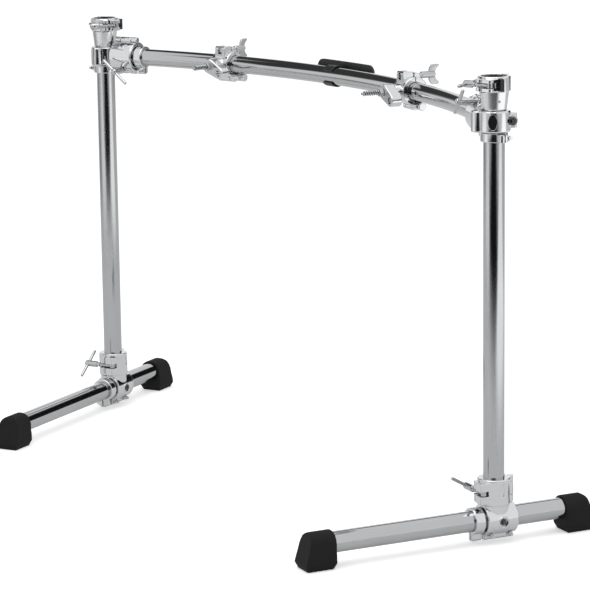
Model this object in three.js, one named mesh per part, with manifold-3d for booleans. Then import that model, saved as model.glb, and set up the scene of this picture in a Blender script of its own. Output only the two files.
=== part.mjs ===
// Curved drum rack frame.
// Two upright posts stand on T legs and carry a bowed front bar between two right angle clamps.
// Every post, leg and bar joint is a cast collar with a hinged gate, a swing bolt and a T handle.
// Lengths are millimetres, angles are degrees, Z is up and the drummer sits on the -Y side.

import * as THREE from 'three';
import { mergeVertices } from 'three/addons/utils/BufferGeometryUtils.js';
import Module from 'manifold-3d';

const wasm = await Module();
wasm.setup();

// Frame: where the tubes stand
const post_spacing = 1304;
const leg_axis_height = 43;
const bar_axis_height = 758;
const bar_end_angle = 23.3;
const bar_straight_end = 112;
const left_leg_yaw = -27.6;
const right_leg_yaw = 9;

// Tubes
const post_diameter = 38.1;
const post_length = 762;
const leg_diameter = 38.1;
const left_leg_front_reach = 407;
const left_leg_back_reach = 195;
const right_leg_front_reach = 367;
const right_leg_back_reach = 181;
const bar_diameter = 35;
const tube_wall = 1.8;
const bar_end_inset = 31.5;
const post_bottom_rise = 22;

// Clearances
const seat_gap = 0.42;
const running_gap = 0.8;
const split_gap = 1.6;
const overrun = 60;

// Collar kit shared by every hinged clamp
const bolt_standoff = 10;
const hinge_standoff = 3.5;
const barrel_radius = 6;
const pin_radius = 2.4;
const ear_edge = 6.5;
const body_ear_edge = 9.5;
const body_ear_depth = 23;
const gate_ear_depth = 13;
const pivot_depth = 15;
const slot_half_height = 4.7;
const slot_back = 6.2;
const ear_corner = 4;
const cast_chamfer = 2.5;

// Swing bolt and T handle
const bolt_radius = 3.4;
const eye_radius = 5.4;
const eye_half_height = 4.2;
const nose_radius = 4.3;
const nose_length = 7;
const nose_stand_off = 2;
const boss_radius = 6.5;
const handle_rod_radius = 3.1;
const handle_rod_length = 74;
const handle_rod_from_end = 7;
const leg_boss_length = 30;
const corner_boss_length = 33;
const holder_boss_length = 19;
const wing_boss_length = 30;

// Wing nut of the accessory clamps
const wing_span = 38;
const wing_rise = 8;
const wing_thickness = 4;

// How the handles and the post locks are turned at rest
const left_corner_handle_spin = -40;
const right_corner_handle_spin = 40;
const holder_handle_spin = 85;
const left_leg_handle_spin = 53;
const right_leg_handle_spin = -60;
const wing_nut_spin = 0;
const left_post_lock_turn = 263;
const right_post_lock_turn = 97;

// T leg clamp
const leg_collar_radius = 30;
const leg_collar_height = 48;
const leg_collar_bottom = 28;
const leg_collar_ear_height = 38;
const neck_radius = 27.5;
const saddle_radius = 29;
const saddle_front_reach = 26;
const saddle_back_reach = 36;
const jaw_top = 11;
const flange_depth = 37;
const flange_thickness = 9;
const flange_end_inset = 3;
const front_jaw_bolt_reach = 12;
const back_jaw_bolt_reach = 27;
const jaw_bolt_drop = 30;

// Key bolts
const key_bolt_radius = 2.8;
const key_bolt_head_radius = 5.2;
const key_bolt_head_length = 5;
const key_square_half = 2.6;
const key_square_length = 5;

// Memory locks
const leg_lock_width = 19.5;
const bar_lock_width = 17;
const post_lock_width = 16;
const lock_wall = 5;
const lock_ear_reach = 12;
const lock_ear_thickness = 7;
const lock_slit = 2.4;
const lock_space = 2.6;
const post_lock_space = 1.2;

// Right angle clamp
const post_saddle_radius = 29;
const post_saddle_height = 38;
const bar_collar_radius = 31;
const bar_collar_length = 54;
const bar_collar_ear_length = 34;
const bar_back_overlap = 10;
const post_ear_reach = 11;
const post_bolt_standoff = 10;
const post_ear_thickness = 9;
const post_ear_height = 26;
const badge_recess_half_width = 8;
const badge_recess_half_height = 14;
const badge_recess_depth = 1.2;
const badge_recess_turn = -20;
const hinge_bulge_radius = 12.5;

// Top tube holder
const cup_height = 32;
const cup_top_radius = 26;
const cup_bottom_radius = 22.5;
const holder_radius = 29;
const holder_height = 27;
const holder_ear_height = 22;
const holder_rod_length = 52;
const liner_wall = 3;
const liner_gap = 0.6;
const liner_height = 24;
const liner_lip = 2.6;
const liner_key_width = 7;
const liner_key_reach = 9;
const liner_key_bridge = 2.2;
const liner_key_angle = -59;
const left_holder_turn = 105;
const right_holder_turn = 165;
const cup_rivet_radius = 2.4;

// Accessory clamps on the bar
const accessory_collar_radius = 27;
const accessory_collar_length = 42;
const accessory_ear_length = 26;
const accessory_bore_extra = 0.3;
const accessory_inset = 0.27;
const left_accessory_angle = -14.8;
const right_accessory_angle = 9.5;
const arm_boss_radius = 13;
const arm_boss_reach = 36;
const arm_jaw_thickness = 22;
const arm_jaw_radius = 15;
const arm_lobe_radius = 12;
const arm_lobe_side = 26;
const arm_lobe_drop = 13;
const arm_bore_radius = 6.4;
const arm_bolt_radius = 3;
const arm_bolt_reach = 104;
const arm_nut_radius = 8.5;
const arm_nut_length = 8;
const side_lug_radius = 8;
const side_lug_length = 26;
const side_lug_back = 1;
const side_lug_drop = 26;
const side_lug_bore = 3.6;

// Name plate, left blank, with its clip
const plate_left_end = -124;
const plate_right_end = 57;
const plate_rise = 27;
const plate_drop = 14;
const plate_thickness = 4;
const plate_stand_off = 4;
const plate_corner = 17;
const clip_length = 28;
const clip_wall = 2.4;
const clip_gap = 1.1;
const clip_mouth = 70;
const clip_shift = -46;

// Rubber feet
const foot_length = 60;
const foot_end_wall = 17;
const foot_wall = 4.4;
const foot_flare = 1.6;
const foot_knee_height = 11;
const foot_sole_inset = 5;
const foot_end_slope = 12;
const foot_nose_round = 12;
const foot_tread_count = 5;
const foot_tread_radius = 2.2;
const foot_tread_depth = 0.9;

// Facets
const tube_sides = 16;
const hollow_sides = 8;
const collar_sides = 14;
const small_sides = 8;
const bar_steps = 18;

// Finishes
const chrome = { color: 0xc9cdd0, roughness: 0.12, metalness: 1 };
const cast_chrome = { color: 0xbfc3c6, roughness: 0.2, metalness: 1 };
const bolt_chrome = { color: 0xb2b6b9, roughness: 0.25, metalness: 1 };
const black_rubber = { color: 0x1d1f1f, roughness: 0.8, metalness: 0 };
const black_plastic = { color: 0x151616, roughness: 0.5, metalness: 0 };

const radians = THREE.MathUtils.degToRad;

// Solid makers
function solid(geometry, matrix) {
  const bare = geometry.clone();
  bare.deleteAttribute('normal');
  bare.deleteAttribute('uv');
  if (matrix) {
    bare.applyMatrix4(matrix);
  }
  const merged = mergeVertices(bare);
  return new wasm.Manifold(new wasm.Mesh({
    numProp: 3,
    vertProperties: new Float32Array(merged.attributes.position.array),
    triVerts: new Uint32Array(merged.index.array),
  }));
}

function geometryOf(body) {
  const mesh = body.getMesh();
  const geometry = new THREE.BufferGeometry();
  geometry.setAttribute('position', new THREE.BufferAttribute(Float32Array.from(mesh.vertProperties), 3));
  geometry.setIndex(new THREE.BufferAttribute(Uint32Array.from(mesh.triVerts), 1));
  geometry.computeVertexNormals();
  return geometry;
}

function joined(...bodies) {
  return bodies.reduce((whole, body) => whole.add(body));
}

function moved(x, y, z) {
  return new THREE.Matrix4().makeTranslation(x, y, z);
}

// Cylinder from one point to another along a straight line
function rod(from, to, radius, sides = small_sides, endRadius = radius) {
  const start = new THREE.Vector3(...from);
  const end = new THREE.Vector3(...to);
  const along = end.clone().sub(start);
  const geometry = new THREE.CylinderGeometry(endRadius, radius, along.length(), sides);
  const direction = along.clone().normalize();
  const turn = new THREE.Quaternion().setFromUnitVectors(new THREE.Vector3(0, 1, 0), direction);
  const middle = start.add(end).multiplyScalar(0.5);
  return solid(geometry, new THREE.Matrix4().compose(middle, turn, new THREE.Vector3(1, 1, 1)));
}

// Solid of revolution about Z from pairs of radius and height
function turned(profile, sides = collar_sides) {
  const points = profile.map(([radius, height]) => new THREE.Vector2(radius, height));
  return solid(new THREE.LatheGeometry(points, sides), new THREE.Matrix4().makeRotationX(Math.PI / 2));
}

// Drum about Z with chamfered rims
function drum(radius, bottom, top, chamfer = cast_chamfer, sides = collar_sides) {
  return turned([
    [0, bottom],
    [radius - chamfer, bottom],
    [radius, bottom + chamfer],
    [radius, top - chamfer],
    [radius - chamfer, top],
    [0, top],
  ], sides);
}

// Straight prism from an outline in XY, from one height to another
function prism(shape, bottom, top, curveSegments = 2) {
  const depth = top - bottom;
  const geometry = new THREE.ExtrudeGeometry(shape, { depth, bevelEnabled: false, curveSegments });
  return solid(geometry, moved(0, 0, bottom));
}

// Prism whose two end faces are chamfered all round
function castPrism(shape, bottom, top, chamfer = cast_chamfer, curveSegments = 1) {
  const geometry = new THREE.ExtrudeGeometry(shape, {
    depth: top - bottom - chamfer - chamfer,
    bevelEnabled: true,
    bevelThickness: chamfer,
    bevelSize: chamfer,
    bevelOffset: -chamfer,
    bevelSegments: 1,
    curveSegments,
  });
  return solid(geometry, moved(0, 0, bottom + chamfer));
}

function rectangle(left, right, low, high) {
  const shape = new THREE.Shape();
  shape.moveTo(left, low);
  shape.lineTo(right, low);
  shape.lineTo(right, high);
  shape.lineTo(left, high);
  shape.closePath();
  return shape;
}

// Rectangle with its two far corners rounded
function tongue(left, right, low, high, corner) {
  const shape = new THREE.Shape();
  shape.moveTo(left, low);
  shape.lineTo(right - corner, low);
  shape.absarc(right - corner, low + corner, corner, -Math.PI / 2, 0, false);
  shape.lineTo(right, high - corner);
  shape.absarc(right - corner, high - corner, corner, 0, Math.PI / 2, false);
  shape.lineTo(left, high);
  shape.closePath();
  return shape;
}

function box(left, right, low, high, bottom, top) {
  return prism(rectangle(left, right, low, high), bottom, top);
}

// Frame whose X, Y and Z axes point along the given directions
function axes(x, y, z, origin = new THREE.Vector3()) {
  return new THREE.Matrix4().makeBasis(x, y, z).setPosition(origin);
}

// Placed mesh
function piece(name, body, finish, parent) {
  const mesh = new THREE.Mesh(geometryOf(body), new THREE.MeshStandardMaterial(finish));
  mesh.name = name;
  parent.add(mesh);
  return mesh;
}

function frameIn(parent, matrix) {
  const frame = new THREE.Group();
  frame.applyMatrix4(matrix);
  parent.add(frame);
  return frame;
}

// Key bolt along +Y: shank, round head and square drive
function keyBolt(x, z, tail, headSeat) {
  const shank = rod([x, tail, z], [x, headSeat + seat_gap, z], key_bolt_radius);
  const headEnd = headSeat + key_bolt_head_length;
  const head = rod([x, headSeat, z], [x, headEnd, z], key_bolt_head_radius);
  const square = box(
    x - key_square_half,
    x + key_square_half,
    headEnd - seat_gap,
    headEnd + key_square_length,
    z - key_square_half,
    z + key_square_half,
  );
  return joined(shank, head, square);
}

// Hinged collar kit.
// The tube runs along Z, the ears stand at +X, the hinge at -X, the gate is the +Y half
// and the fixed half is the -Y half. The swing bolt pivots in the fixed ears and lies along +Y.
function collarKit(size) {
  const { tubeRadius, radius, height, earHeight, bossLength, boreGap = seat_gap } = size;
  const half = height / 2;
  const earHalf = earHeight / 2;
  const bore = tubeRadius + boreGap;
  const bolt = tubeRadius + bolt_standoff;
  const hinge = radius + hinge_standoff;
  const knuckle = half / 2;
  const face = split_gap / 2;
  const boreCut = rod([0, 0, -half - overrun], [0, 0, half + overrun], bore, tube_sides);
  const slot = box(bolt - slot_back, bolt + overrun, -overrun, overrun, -slot_half_height, slot_half_height);
  const gateSide = box(-hinge - overrun, bolt + overrun, -face, overrun, -half, half);
  const bodyEar = tongue(0, bolt + body_ear_edge, -body_ear_depth, -face, ear_corner);
  const gateEar = tongue(0, bolt + ear_edge, face, gate_ear_depth, ear_corner);
  const relief = barrel_radius + running_gap;

  // Fixed half, to which each clamp adds its own casting before the cuts
  const outer = joined(drum(radius, -half, half), prism(bodyEar, -earHalf, earHalf));
  const cuts = joined(
    gateSide,
    slot,
    rod([-hinge, 0, -knuckle - seat_gap], [-hinge, 0, knuckle + seat_gap], relief),
  );
  const pinHalf = earHalf - cast_chamfer;
  const pins = joined(
    rod([bolt, -pivot_depth, -pinHalf], [bolt, -pivot_depth, pinHalf], pin_radius),
    rod([-hinge, 0, -half], [-hinge, 0, half], pin_radius),
    rod([-hinge, 0, -half], [-hinge, 0, -knuckle - seat_gap], barrel_radius),
    rod([-hinge, 0, knuckle + seat_gap], [-hinge, 0, half], barrel_radius),
  );

  // Gate, modelled about its hinge pin
  const gateHalf = half - running_gap / 2;
  const ring = drum(radius, -gateHalf, gateHalf);
  const keep = box(-hinge - overrun, bolt + overrun, face, overrun, -half, half);
  const gate = joined(ring, prism(gateEar, -earHalf, earHalf))
    .intersect(keep)
    .subtract(slot)
    .subtract(rod([-hinge, 0, -half - overrun], [-hinge, 0, -knuckle + seat_gap], relief))
    .subtract(rod([-hinge, 0, knuckle - seat_gap], [-hinge, 0, half + overrun], relief))
    .add(rod([-hinge, 0, -knuckle + seat_gap], [-hinge, 0, knuckle - seat_gap], barrel_radius))
    .subtract(rod([-hinge, 0, -overrun], [-hinge, 0, overrun], pin_radius + seat_gap))
    .subtract(boreCut)
    .translate(hinge, 0, 0);

  // Swing bolt, modelled about its pivot pin
  const handleStart = pivot_depth + gate_ear_depth + nose_stand_off;
  const boltTip = handleStart + nose_length + bossLength - handle_rod_from_end - handle_rod_radius - seat_gap;
  const swingBolt = joined(
    rod([0, 0, -eye_half_height], [0, 0, eye_half_height], eye_radius),
    rod([0, eye_radius / 2, 0], [0, boltTip - seat_gap, 0], bolt_radius),
  ).subtract(rod([0, 0, -overrun], [0, 0, overrun], pin_radius + seat_gap));

  return { outer, cuts, pins, boreCut, gate, swingBolt, bolt, hinge, handleStart, boltTip, bossLength };
}

// Nut part of a handle, along +Y from the bolt's pivot
function handleNut(kit) {
  const { bossLength } = kit;
  const start = kit.handleStart;
  const shoulder = start + nose_length;
  const end = shoulder + bossLength;
  const round = boss_radius / 3;
  const nut = turned([
    [0, start],
    [nose_radius, start],
    [nose_radius, shoulder],
    [boss_radius, shoulder],
    [boss_radius, end - round],
    [0, end],
  ], small_sides);
  const lying = nut.rotate([-90, 0, 0]);
  return { lying, end };
}

// T handle: nut with a cross rod, tilted about the bolt by the given angle
function tHandle(kit, rodLength) {
  const { lying, end } = handleNut(kit);
  const middle = end - handle_rod_from_end;
  const straight = rodLength - handle_rod_radius * 2;
  const capsule = new THREE.CapsuleGeometry(handle_rod_radius, straight, 1, small_sides);
  const upright = new THREE.Matrix4().makeRotationX(Math.PI / 2).setPosition(0, middle, 0);
  return joined(lying, solid(capsule, upright))
    .subtract(rod([0, kit.handleStart - overrun, 0], [0, kit.boltTip, 0], bolt_radius + seat_gap));
}

// Wing nut: nut with two swept blades
function wingNut(kit) {
  const { lying, end } = handleNut(kit);
  const root = boss_radius / 2;
  const tip = wing_span / 2;
  const blade = new THREE.Shape();
  const base = end - kit.bossLength / 2;
  blade.moveTo(0, base);
  blade.lineTo(root, base);
  blade.quadraticCurveTo(tip - wing_thickness, base, tip, base + wing_rise);
  blade.lineTo(tip, end + wing_rise - wing_thickness);
  blade.quadraticCurveTo(tip, end + wing_rise, tip - wing_thickness, end + wing_rise);
  blade.quadraticCurveTo(root, end, 0, end - seat_gap);
  blade.closePath();
  const right = prism(blade, -wing_thickness / 2, wing_thickness / 2);
  const left = right.rotate([0, 180, 0]);
  return joined(lying, right, left)
    .subtract(rod([0, kit.handleStart - overrun, 0], [0, kit.boltTip, 0], bolt_radius + seat_gap));
}

// Adds gate, swing bolt and handle of a kit to a clamp's frame
function addLatch(kit, frame, side, place, handle, spin) {
  const gate = piece(`${side}_${place}_gate`, kit.gate, cast_chrome, frame);
  gate.position.set(-kit.hinge, 0, 0);
  const bolt = piece(`${side}_${place}_swing_bolt`, kit.swingBolt, bolt_chrome, frame);
  bolt.position.set(kit.bolt, -pivot_depth, 0);
  const name = handle.wing ? 'wing_nut' : 't_handle';
  const grip = piece(`${side}_${place}_${name}`, handle.body, bolt_chrome, frame);
  grip.position.set(kit.bolt, -pivot_depth, 0);
  grip.rotation.y = radians(spin);
}

// Split ring that marks a tube's setting, about Z from 0 up to its width, ears at +X, key bolt along +Y
function memoryLock(tubeRadius, width) {
  const bore = tubeRadius + seat_gap;
  const radius = bore + lock_wall;
  const faceHalf = lock_slit / 2;
  const earOut = radius + lock_ear_reach;
  const earFace = faceHalf + lock_ear_thickness;
  const ear = tongue(0, earOut, -earFace, earFace, ear_corner / 2);
  const boltAt = radius + lock_ear_reach / 2;
  return joined(
    rod([0, 0, 0], [0, 0, width], radius, collar_sides),
    prism(ear, cast_chamfer / 2, width - cast_chamfer / 2, 1),
  )
    .subtract(rod([0, 0, -overrun], [0, 0, overrun], bore, tube_sides))
    .subtract(box(0, overrun, -faceHalf, faceHalf, -overrun, overrun))
    .add(keyBolt(boltAt, width / 2, -faceHalf - lock_ear_thickness / 2, earFace));
}

// Straight tube about Z
function straightTube(diameter, length) {
  const radius = diameter / 2;
  return rod([0, 0, 0], [0, 0, length], radius, tube_sides)
    .subtract(rod([0, 0, -overrun], [0, 0, length + overrun], radius - tube_wall, hollow_sides));
}

const rack = new THREE.Group();
rack.name = 'drum_rack_frame';

// Path of the bar: a shallow arc with a straight length at each end
const end_turn = radians(bar_end_angle);
const arc_half_chord = post_spacing / 2 - bar_straight_end * Math.cos(end_turn);
const arc_radius = arc_half_chord / Math.sin(end_turn);
const arc_centre_y = bar_straight_end * Math.sin(end_turn) - arc_radius * Math.cos(end_turn);

class BarPath extends THREE.Curve {
  getPoint(share, target = new THREE.Vector3()) {
    const straight = bar_straight_end - bar_end_inset;
    const arc = arc_radius * end_turn;
    const along = (share - 0.5) * 2 * (arc + straight);
    const side = Math.sign(along);
    const reach = Math.abs(along);
    const turn = Math.min(reach, arc) / arc_radius;
    const rest = Math.max(reach - arc, 0);
    const x = arc_radius * Math.sin(turn) + rest * Math.cos(end_turn);
    const y = arc_centre_y + arc_radius * Math.cos(turn) - rest * Math.sin(end_turn);
    return target.set(side * x, y, bar_axis_height);
  }
}

const bar_section = new THREE.Shape();
bar_section.absarc(0, 0, bar_diameter / 2, 0, Math.PI * 2, false);
const bar_hollow = new THREE.EllipseCurve(0, 0, bar_diameter / 2 - tube_wall, bar_diameter / 2 - tube_wall);
bar_section.holes.push(new THREE.Path(bar_hollow.getPoints(hollow_sides)));
const bar_geometry = new THREE.ExtrudeGeometry(bar_section, {
  steps: bar_steps,
  extrudePath: new BarPath(),
  curveSegments: tube_sides / 2,
});
piece('curved_bar', solid(bar_geometry), chrome, rack);

// Rubber foot about the leg's axis: X is across, Y runs out along the leg, Z is up
function rubberFoot() {
  const inner = leg_diameter / 2 + seat_gap;
  const round = leg_diameter / 2 + foot_wall;
  const flank = round + foot_flare;
  const knee = -leg_axis_height + foot_knee_height;
  const section = new THREE.Shape();
  section.moveTo(-round, 0);
  section.lineTo(-flank, knee);
  section.lineTo(-flank + foot_sole_inset, -leg_axis_height);
  section.lineTo(flank - foot_sole_inset, -leg_axis_height);
  section.lineTo(flank, knee);
  section.lineTo(round, 0);
  section.absarc(0, 0, round, 0, Math.PI, false);
  const upright = new THREE.Matrix4().makeBasis(
    new THREE.Vector3(-1, 0, 0),
    new THREE.Vector3(0, 0, 1),
    new THREE.Vector3(0, 1, 0),
  );
  const body = new THREE.ExtrudeGeometry(section, {
    depth: foot_length,
    bevelEnabled: false,
    curveSegments: 6,
  });
  const crownEnd = foot_length - foot_end_slope;
  const side = new THREE.Shape();
  side.moveTo(0, round - foot_wall / 2);
  side.quadraticCurveTo(0, round, foot_wall, round);
  side.lineTo(crownEnd - foot_nose_round, round);
  side.quadraticCurveTo(crownEnd, round, crownEnd, round - foot_nose_round);
  side.lineTo(foot_length, knee);
  side.lineTo(foot_length - foot_sole_inset, -leg_axis_height);
  side.lineTo(foot_sole_inset, -leg_axis_height);
  side.lineTo(0, knee);
  side.closePath();
  const sideBlock = new THREE.ExtrudeGeometry(side, {
    depth: flank * 2,
    bevelEnabled: false,
    curveSegments: 3,
  });
  const across = new THREE.Matrix4().makeBasis(
    new THREE.Vector3(0, 1, 0),
    new THREE.Vector3(0, 0, 1),
    new THREE.Vector3(1, 0, 0),
  ).setPosition(-flank, 0, 0);
  let foot = solid(body, upright).intersect(solid(sideBlock, across));
  const pitch = (foot_length - foot_sole_inset * 2) / foot_tread_count;
  const grooveHeight = -leg_axis_height - foot_tread_radius + foot_tread_depth;
  for (let index = 1; index < foot_tread_count; index += 1) {
    const along = foot_sole_inset + pitch * index;
    foot = foot.subtract(
      rod([-overrun, along, grooveHeight], [overrun, along, grooveHeight], foot_tread_radius, 6),
    );
  }
  return foot.subtract(rod([0, -overrun, 0], [0, foot_length - foot_end_wall, 0], inner, tube_sides));
}

const foot_solid = rubberFoot();

// Directions used by the clamps' own frames
const front = new THREE.Vector3(0, -1, 0);
const rightward = new THREE.Vector3(1, 0, 0);
const leftward = new THREE.Vector3(-1, 0, 0);
const upward = new THREE.Vector3(0, 0, 1);
const downward = new THREE.Vector3(0, 0, -1);
const backward = new THREE.Vector3(0, 1, 0);

// T leg: clamp casting, leg jaw, leg tube, feet and memory lock
function addLeg(side, postX, yaw, spin, frontReach, backReach) {
  const turn = new THREE.Matrix4().makeRotationZ(-radians(yaw));
  const leg = frameIn(rack, turn.setPosition(postX, 0, leg_axis_height));
  const collarMiddle = leg_collar_bottom + leg_collar_height / 2;
  const kit = collarKit({
    tubeRadius: post_diameter / 2,
    radius: leg_collar_radius,
    height: leg_collar_height,
    earHeight: leg_collar_ear_height,
    bossLength: leg_boss_length,
  });
  const collarFrame = axes(front, leftward, downward, new THREE.Vector3(0, 0, collarMiddle));
  const toLeg = collarFrame.elements;
  const legRadius = leg_diameter / 2;
  const face = split_gap / 2;

  // Saddle round the leg, closed below by the flanges
  const lying = new THREE.Matrix4().makeRotationX(-Math.PI / 2);
  const saddle = drum(saddle_radius, -saddle_front_reach, saddle_back_reach).transform(lying.elements);
  const flanges = castPrism(
    tongue(0, flange_depth, -flange_thickness, flange_thickness, ear_corner),
    -saddle_back_reach + flange_end_inset,
    saddle_front_reach - flange_end_inset,
    cast_chamfer / 2,
  ).transform(axes(downward, leftward, front).elements);
  const legBore = rod([0, -overrun * 2, 0], [0, overrun * 2, 0], legRadius + seat_gap, tube_sides);
  const jawSpace = box(-saddle_radius - overrun, face, -overrun, overrun, -overrun, jaw_top + face);
  const neck = turned([
    [0, 0],
    [neck_radius - cast_chamfer, 0],
    [neck_radius, leg_collar_bottom / 2],
    [neck_radius, leg_collar_bottom + cast_chamfer],
    [0, leg_collar_bottom + cast_chamfer],
  ]);
  const headSpace = key_bolt_head_radius + running_gap;
  const boltRow = [-front_jaw_bolt_reach, back_jaw_bolt_reach];
  const boltHoles = joined(...boltRow.flatMap((along) => [
    rod([-overrun, along, -jaw_bolt_drop], [overrun, along, -jaw_bolt_drop], key_bolt_radius + seat_gap),
    rod([flange_thickness, along, -jaw_bolt_drop], [overrun, along, -jaw_bolt_drop], headSpace),
  ]));
  const casting = joined(kit.outer.transform(toLeg), neck, saddle, flanges)
    .subtract(kit.cuts.transform(toLeg))
    .subtract(rod([0, 0, post_bottom_rise - seat_gap], [0, 0, overrun * 3], legRadius + seat_gap, tube_sides))
    .subtract(legBore)
    .subtract(jawSpace)
    .subtract(boltHoles)
    .add(kit.pins.transform(toLeg));
  piece(`${side}_leg_clamp_body`, casting, cast_chrome, leg);

  const jawKeep = box(-saddle_radius - overrun, -face, -overrun, overrun, -overrun, jaw_top);
  const jawBolts = joined(...boltRow.map((along) => (
    keyBolt(0, 0, flange_thickness / 2 - flange_thickness, flange_thickness + seat_gap)
      .transform(axes(backward, rightward, downward, new THREE.Vector3(0, along, -jaw_bolt_drop)).elements)
  )));
  const jaw = joined(saddle, flanges).intersect(jawKeep).subtract(legBore).add(jawBolts);
  piece(`${side}_leg_jaw`, jaw, cast_chrome, leg);

  const handle = { body: tHandle(kit, handle_rod_length) };
  addLatch(kit, frameIn(leg, collarFrame), side, 'leg_clamp', handle, spin);

  // Leg tube with a foot on each end
  const tube = piece(`${side}_leg_tube`, straightTube(leg_diameter, frontReach + backReach), chrome, leg);
  tube.applyMatrix4(axes(rightward, downward, backward, new THREE.Vector3(0, -frontReach, 0)));
  const frontFoot = piece(`${side}_front_foot`, foot_solid, black_rubber, leg);
  frontFoot.rotation.z = Math.PI;
  frontFoot.position.y = -frontReach - foot_end_wall - seat_gap + foot_length;
  const backFoot = piece(`${side}_back_foot`, foot_solid, black_rubber, leg);
  backFoot.position.y = backReach + foot_end_wall + seat_gap - foot_length;

  // Memory lock on the leg, in front of the clamp, ears below
  const lockStart = -saddle_front_reach - lock_space - leg_lock_width;
  const lockFrame = axes(downward, leftward, backward, new THREE.Vector3(0, lockStart, 0));
  const lock = piece(`${side}_leg_memory_lock`, memoryLock(legRadius, leg_lock_width), cast_chrome, leg);
  lock.applyMatrix4(lockFrame);
}

// Post with its top tube holder
function addPost(side, postX, holderTurn, spin) {
  const post = frameIn(rack, moved(postX, 0, 0));
  const radius = post_diameter / 2;
  const bottom = leg_axis_height + post_bottom_rise;
  const top = bottom + post_length;
  piece(`${side}_post_tube`, straightTube(post_diameter, post_length), chrome, post).position.z = bottom;

  // Cup under the hinged collar
  const cupBottom = bar_axis_height + post_saddle_height / 2 + running_gap;
  const collarBottom = cupBottom + cup_height;
  const collarMiddle = collarBottom + holder_height / 2;
  const linerRadius = radius + seat_gap + liner_wall;
  const kit = collarKit({
    tubeRadius: linerRadius,
    radius: holder_radius,
    height: holder_height,
    earHeight: holder_ear_height,
    bossLength: holder_boss_length,
    boreGap: liner_gap,
  });
  const outward = new THREE.Vector3(Math.sin(radians(holderTurn)), Math.cos(radians(holderTurn)), 0);
  const sideways = new THREE.Vector3(outward.y, -outward.x, 0);
  const frame = axes(outward, sideways, downward, new THREE.Vector3(0, 0, collarMiddle));
  const cup = turned([
    [0, cupBottom],
    [cup_bottom_radius - cast_chamfer / 2, cupBottom],
    [cup_bottom_radius, cupBottom + cast_chamfer],
    [cup_top_radius, collarBottom],
    [cup_top_radius, collarBottom + cast_chamfer],
    [0, collarBottom + cast_chamfer],
  ]);
  const keyTurn = radians(liner_key_angle);
  const keyAxes = new THREE.Matrix4().makeRotationZ(keyTurn);
  const keyHalf = liner_key_width / 2;
  const windowHalf = keyHalf + seat_gap;
  const windowReach = holder_height / 2 - liner_key_bridge;
  const window = box(0, overrun, -windowHalf, windowHalf, -windowReach, windowReach)
    .transform(keyAxes.elements);
  const body = joined(kit.outer.subtract(window).transform(frame.elements), cup)
    .subtract(kit.cuts.transform(frame.elements))
    .subtract(rod([0, 0, collarBottom], [0, 0, top + overrun], linerRadius + liner_gap, tube_sides))
    .subtract(rod([0, 0, 0], [0, 0, top + overrun], radius + seat_gap, tube_sides))
    .add(kit.pins.transform(frame.elements));
  const rivetAt = cupBottom + cup_height / 2;
  const rivet = rod([0, 0, rivetAt], [0, cup_top_radius, rivetAt], cup_rivet_radius)
    .subtract(rod([0, 0, 0], [0, 0, top], radius + seat_gap, tube_sides));
  const riveted = body.add(rivet.rotate([0, 0, -holderTurn - liner_key_angle]));
  piece(`${side}_top_holder_body`, riveted, cast_chrome, post);
  addLatch(kit, frameIn(post, frame), side, 'top_holder', { body: tHandle(kit, holder_rod_length) }, spin);

  // Plastic liner with a key that shows through the casting
  const linerHalf = liner_height / 2;
  const keyHeight = windowReach - seat_gap;
  const key = box(0, holder_radius + liner_key_reach, -keyHalf, keyHalf, -keyHeight, keyHeight);
  const liner = rod([0, 0, -linerHalf], [0, 0, linerHalf], linerRadius, tube_sides)
    .add(key.transform(keyAxes.elements))
    .transform(frame.elements)
    .subtract(rod([0, 0, 0], [0, 0, top + seat_gap], radius + seat_gap, tube_sides))
    .subtract(rod([0, 0, 0], [0, 0, top + overrun], radius - liner_lip, tube_sides));
  piece(`${side}_top_holder_liner`, liner, black_plastic, post);
}

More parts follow.
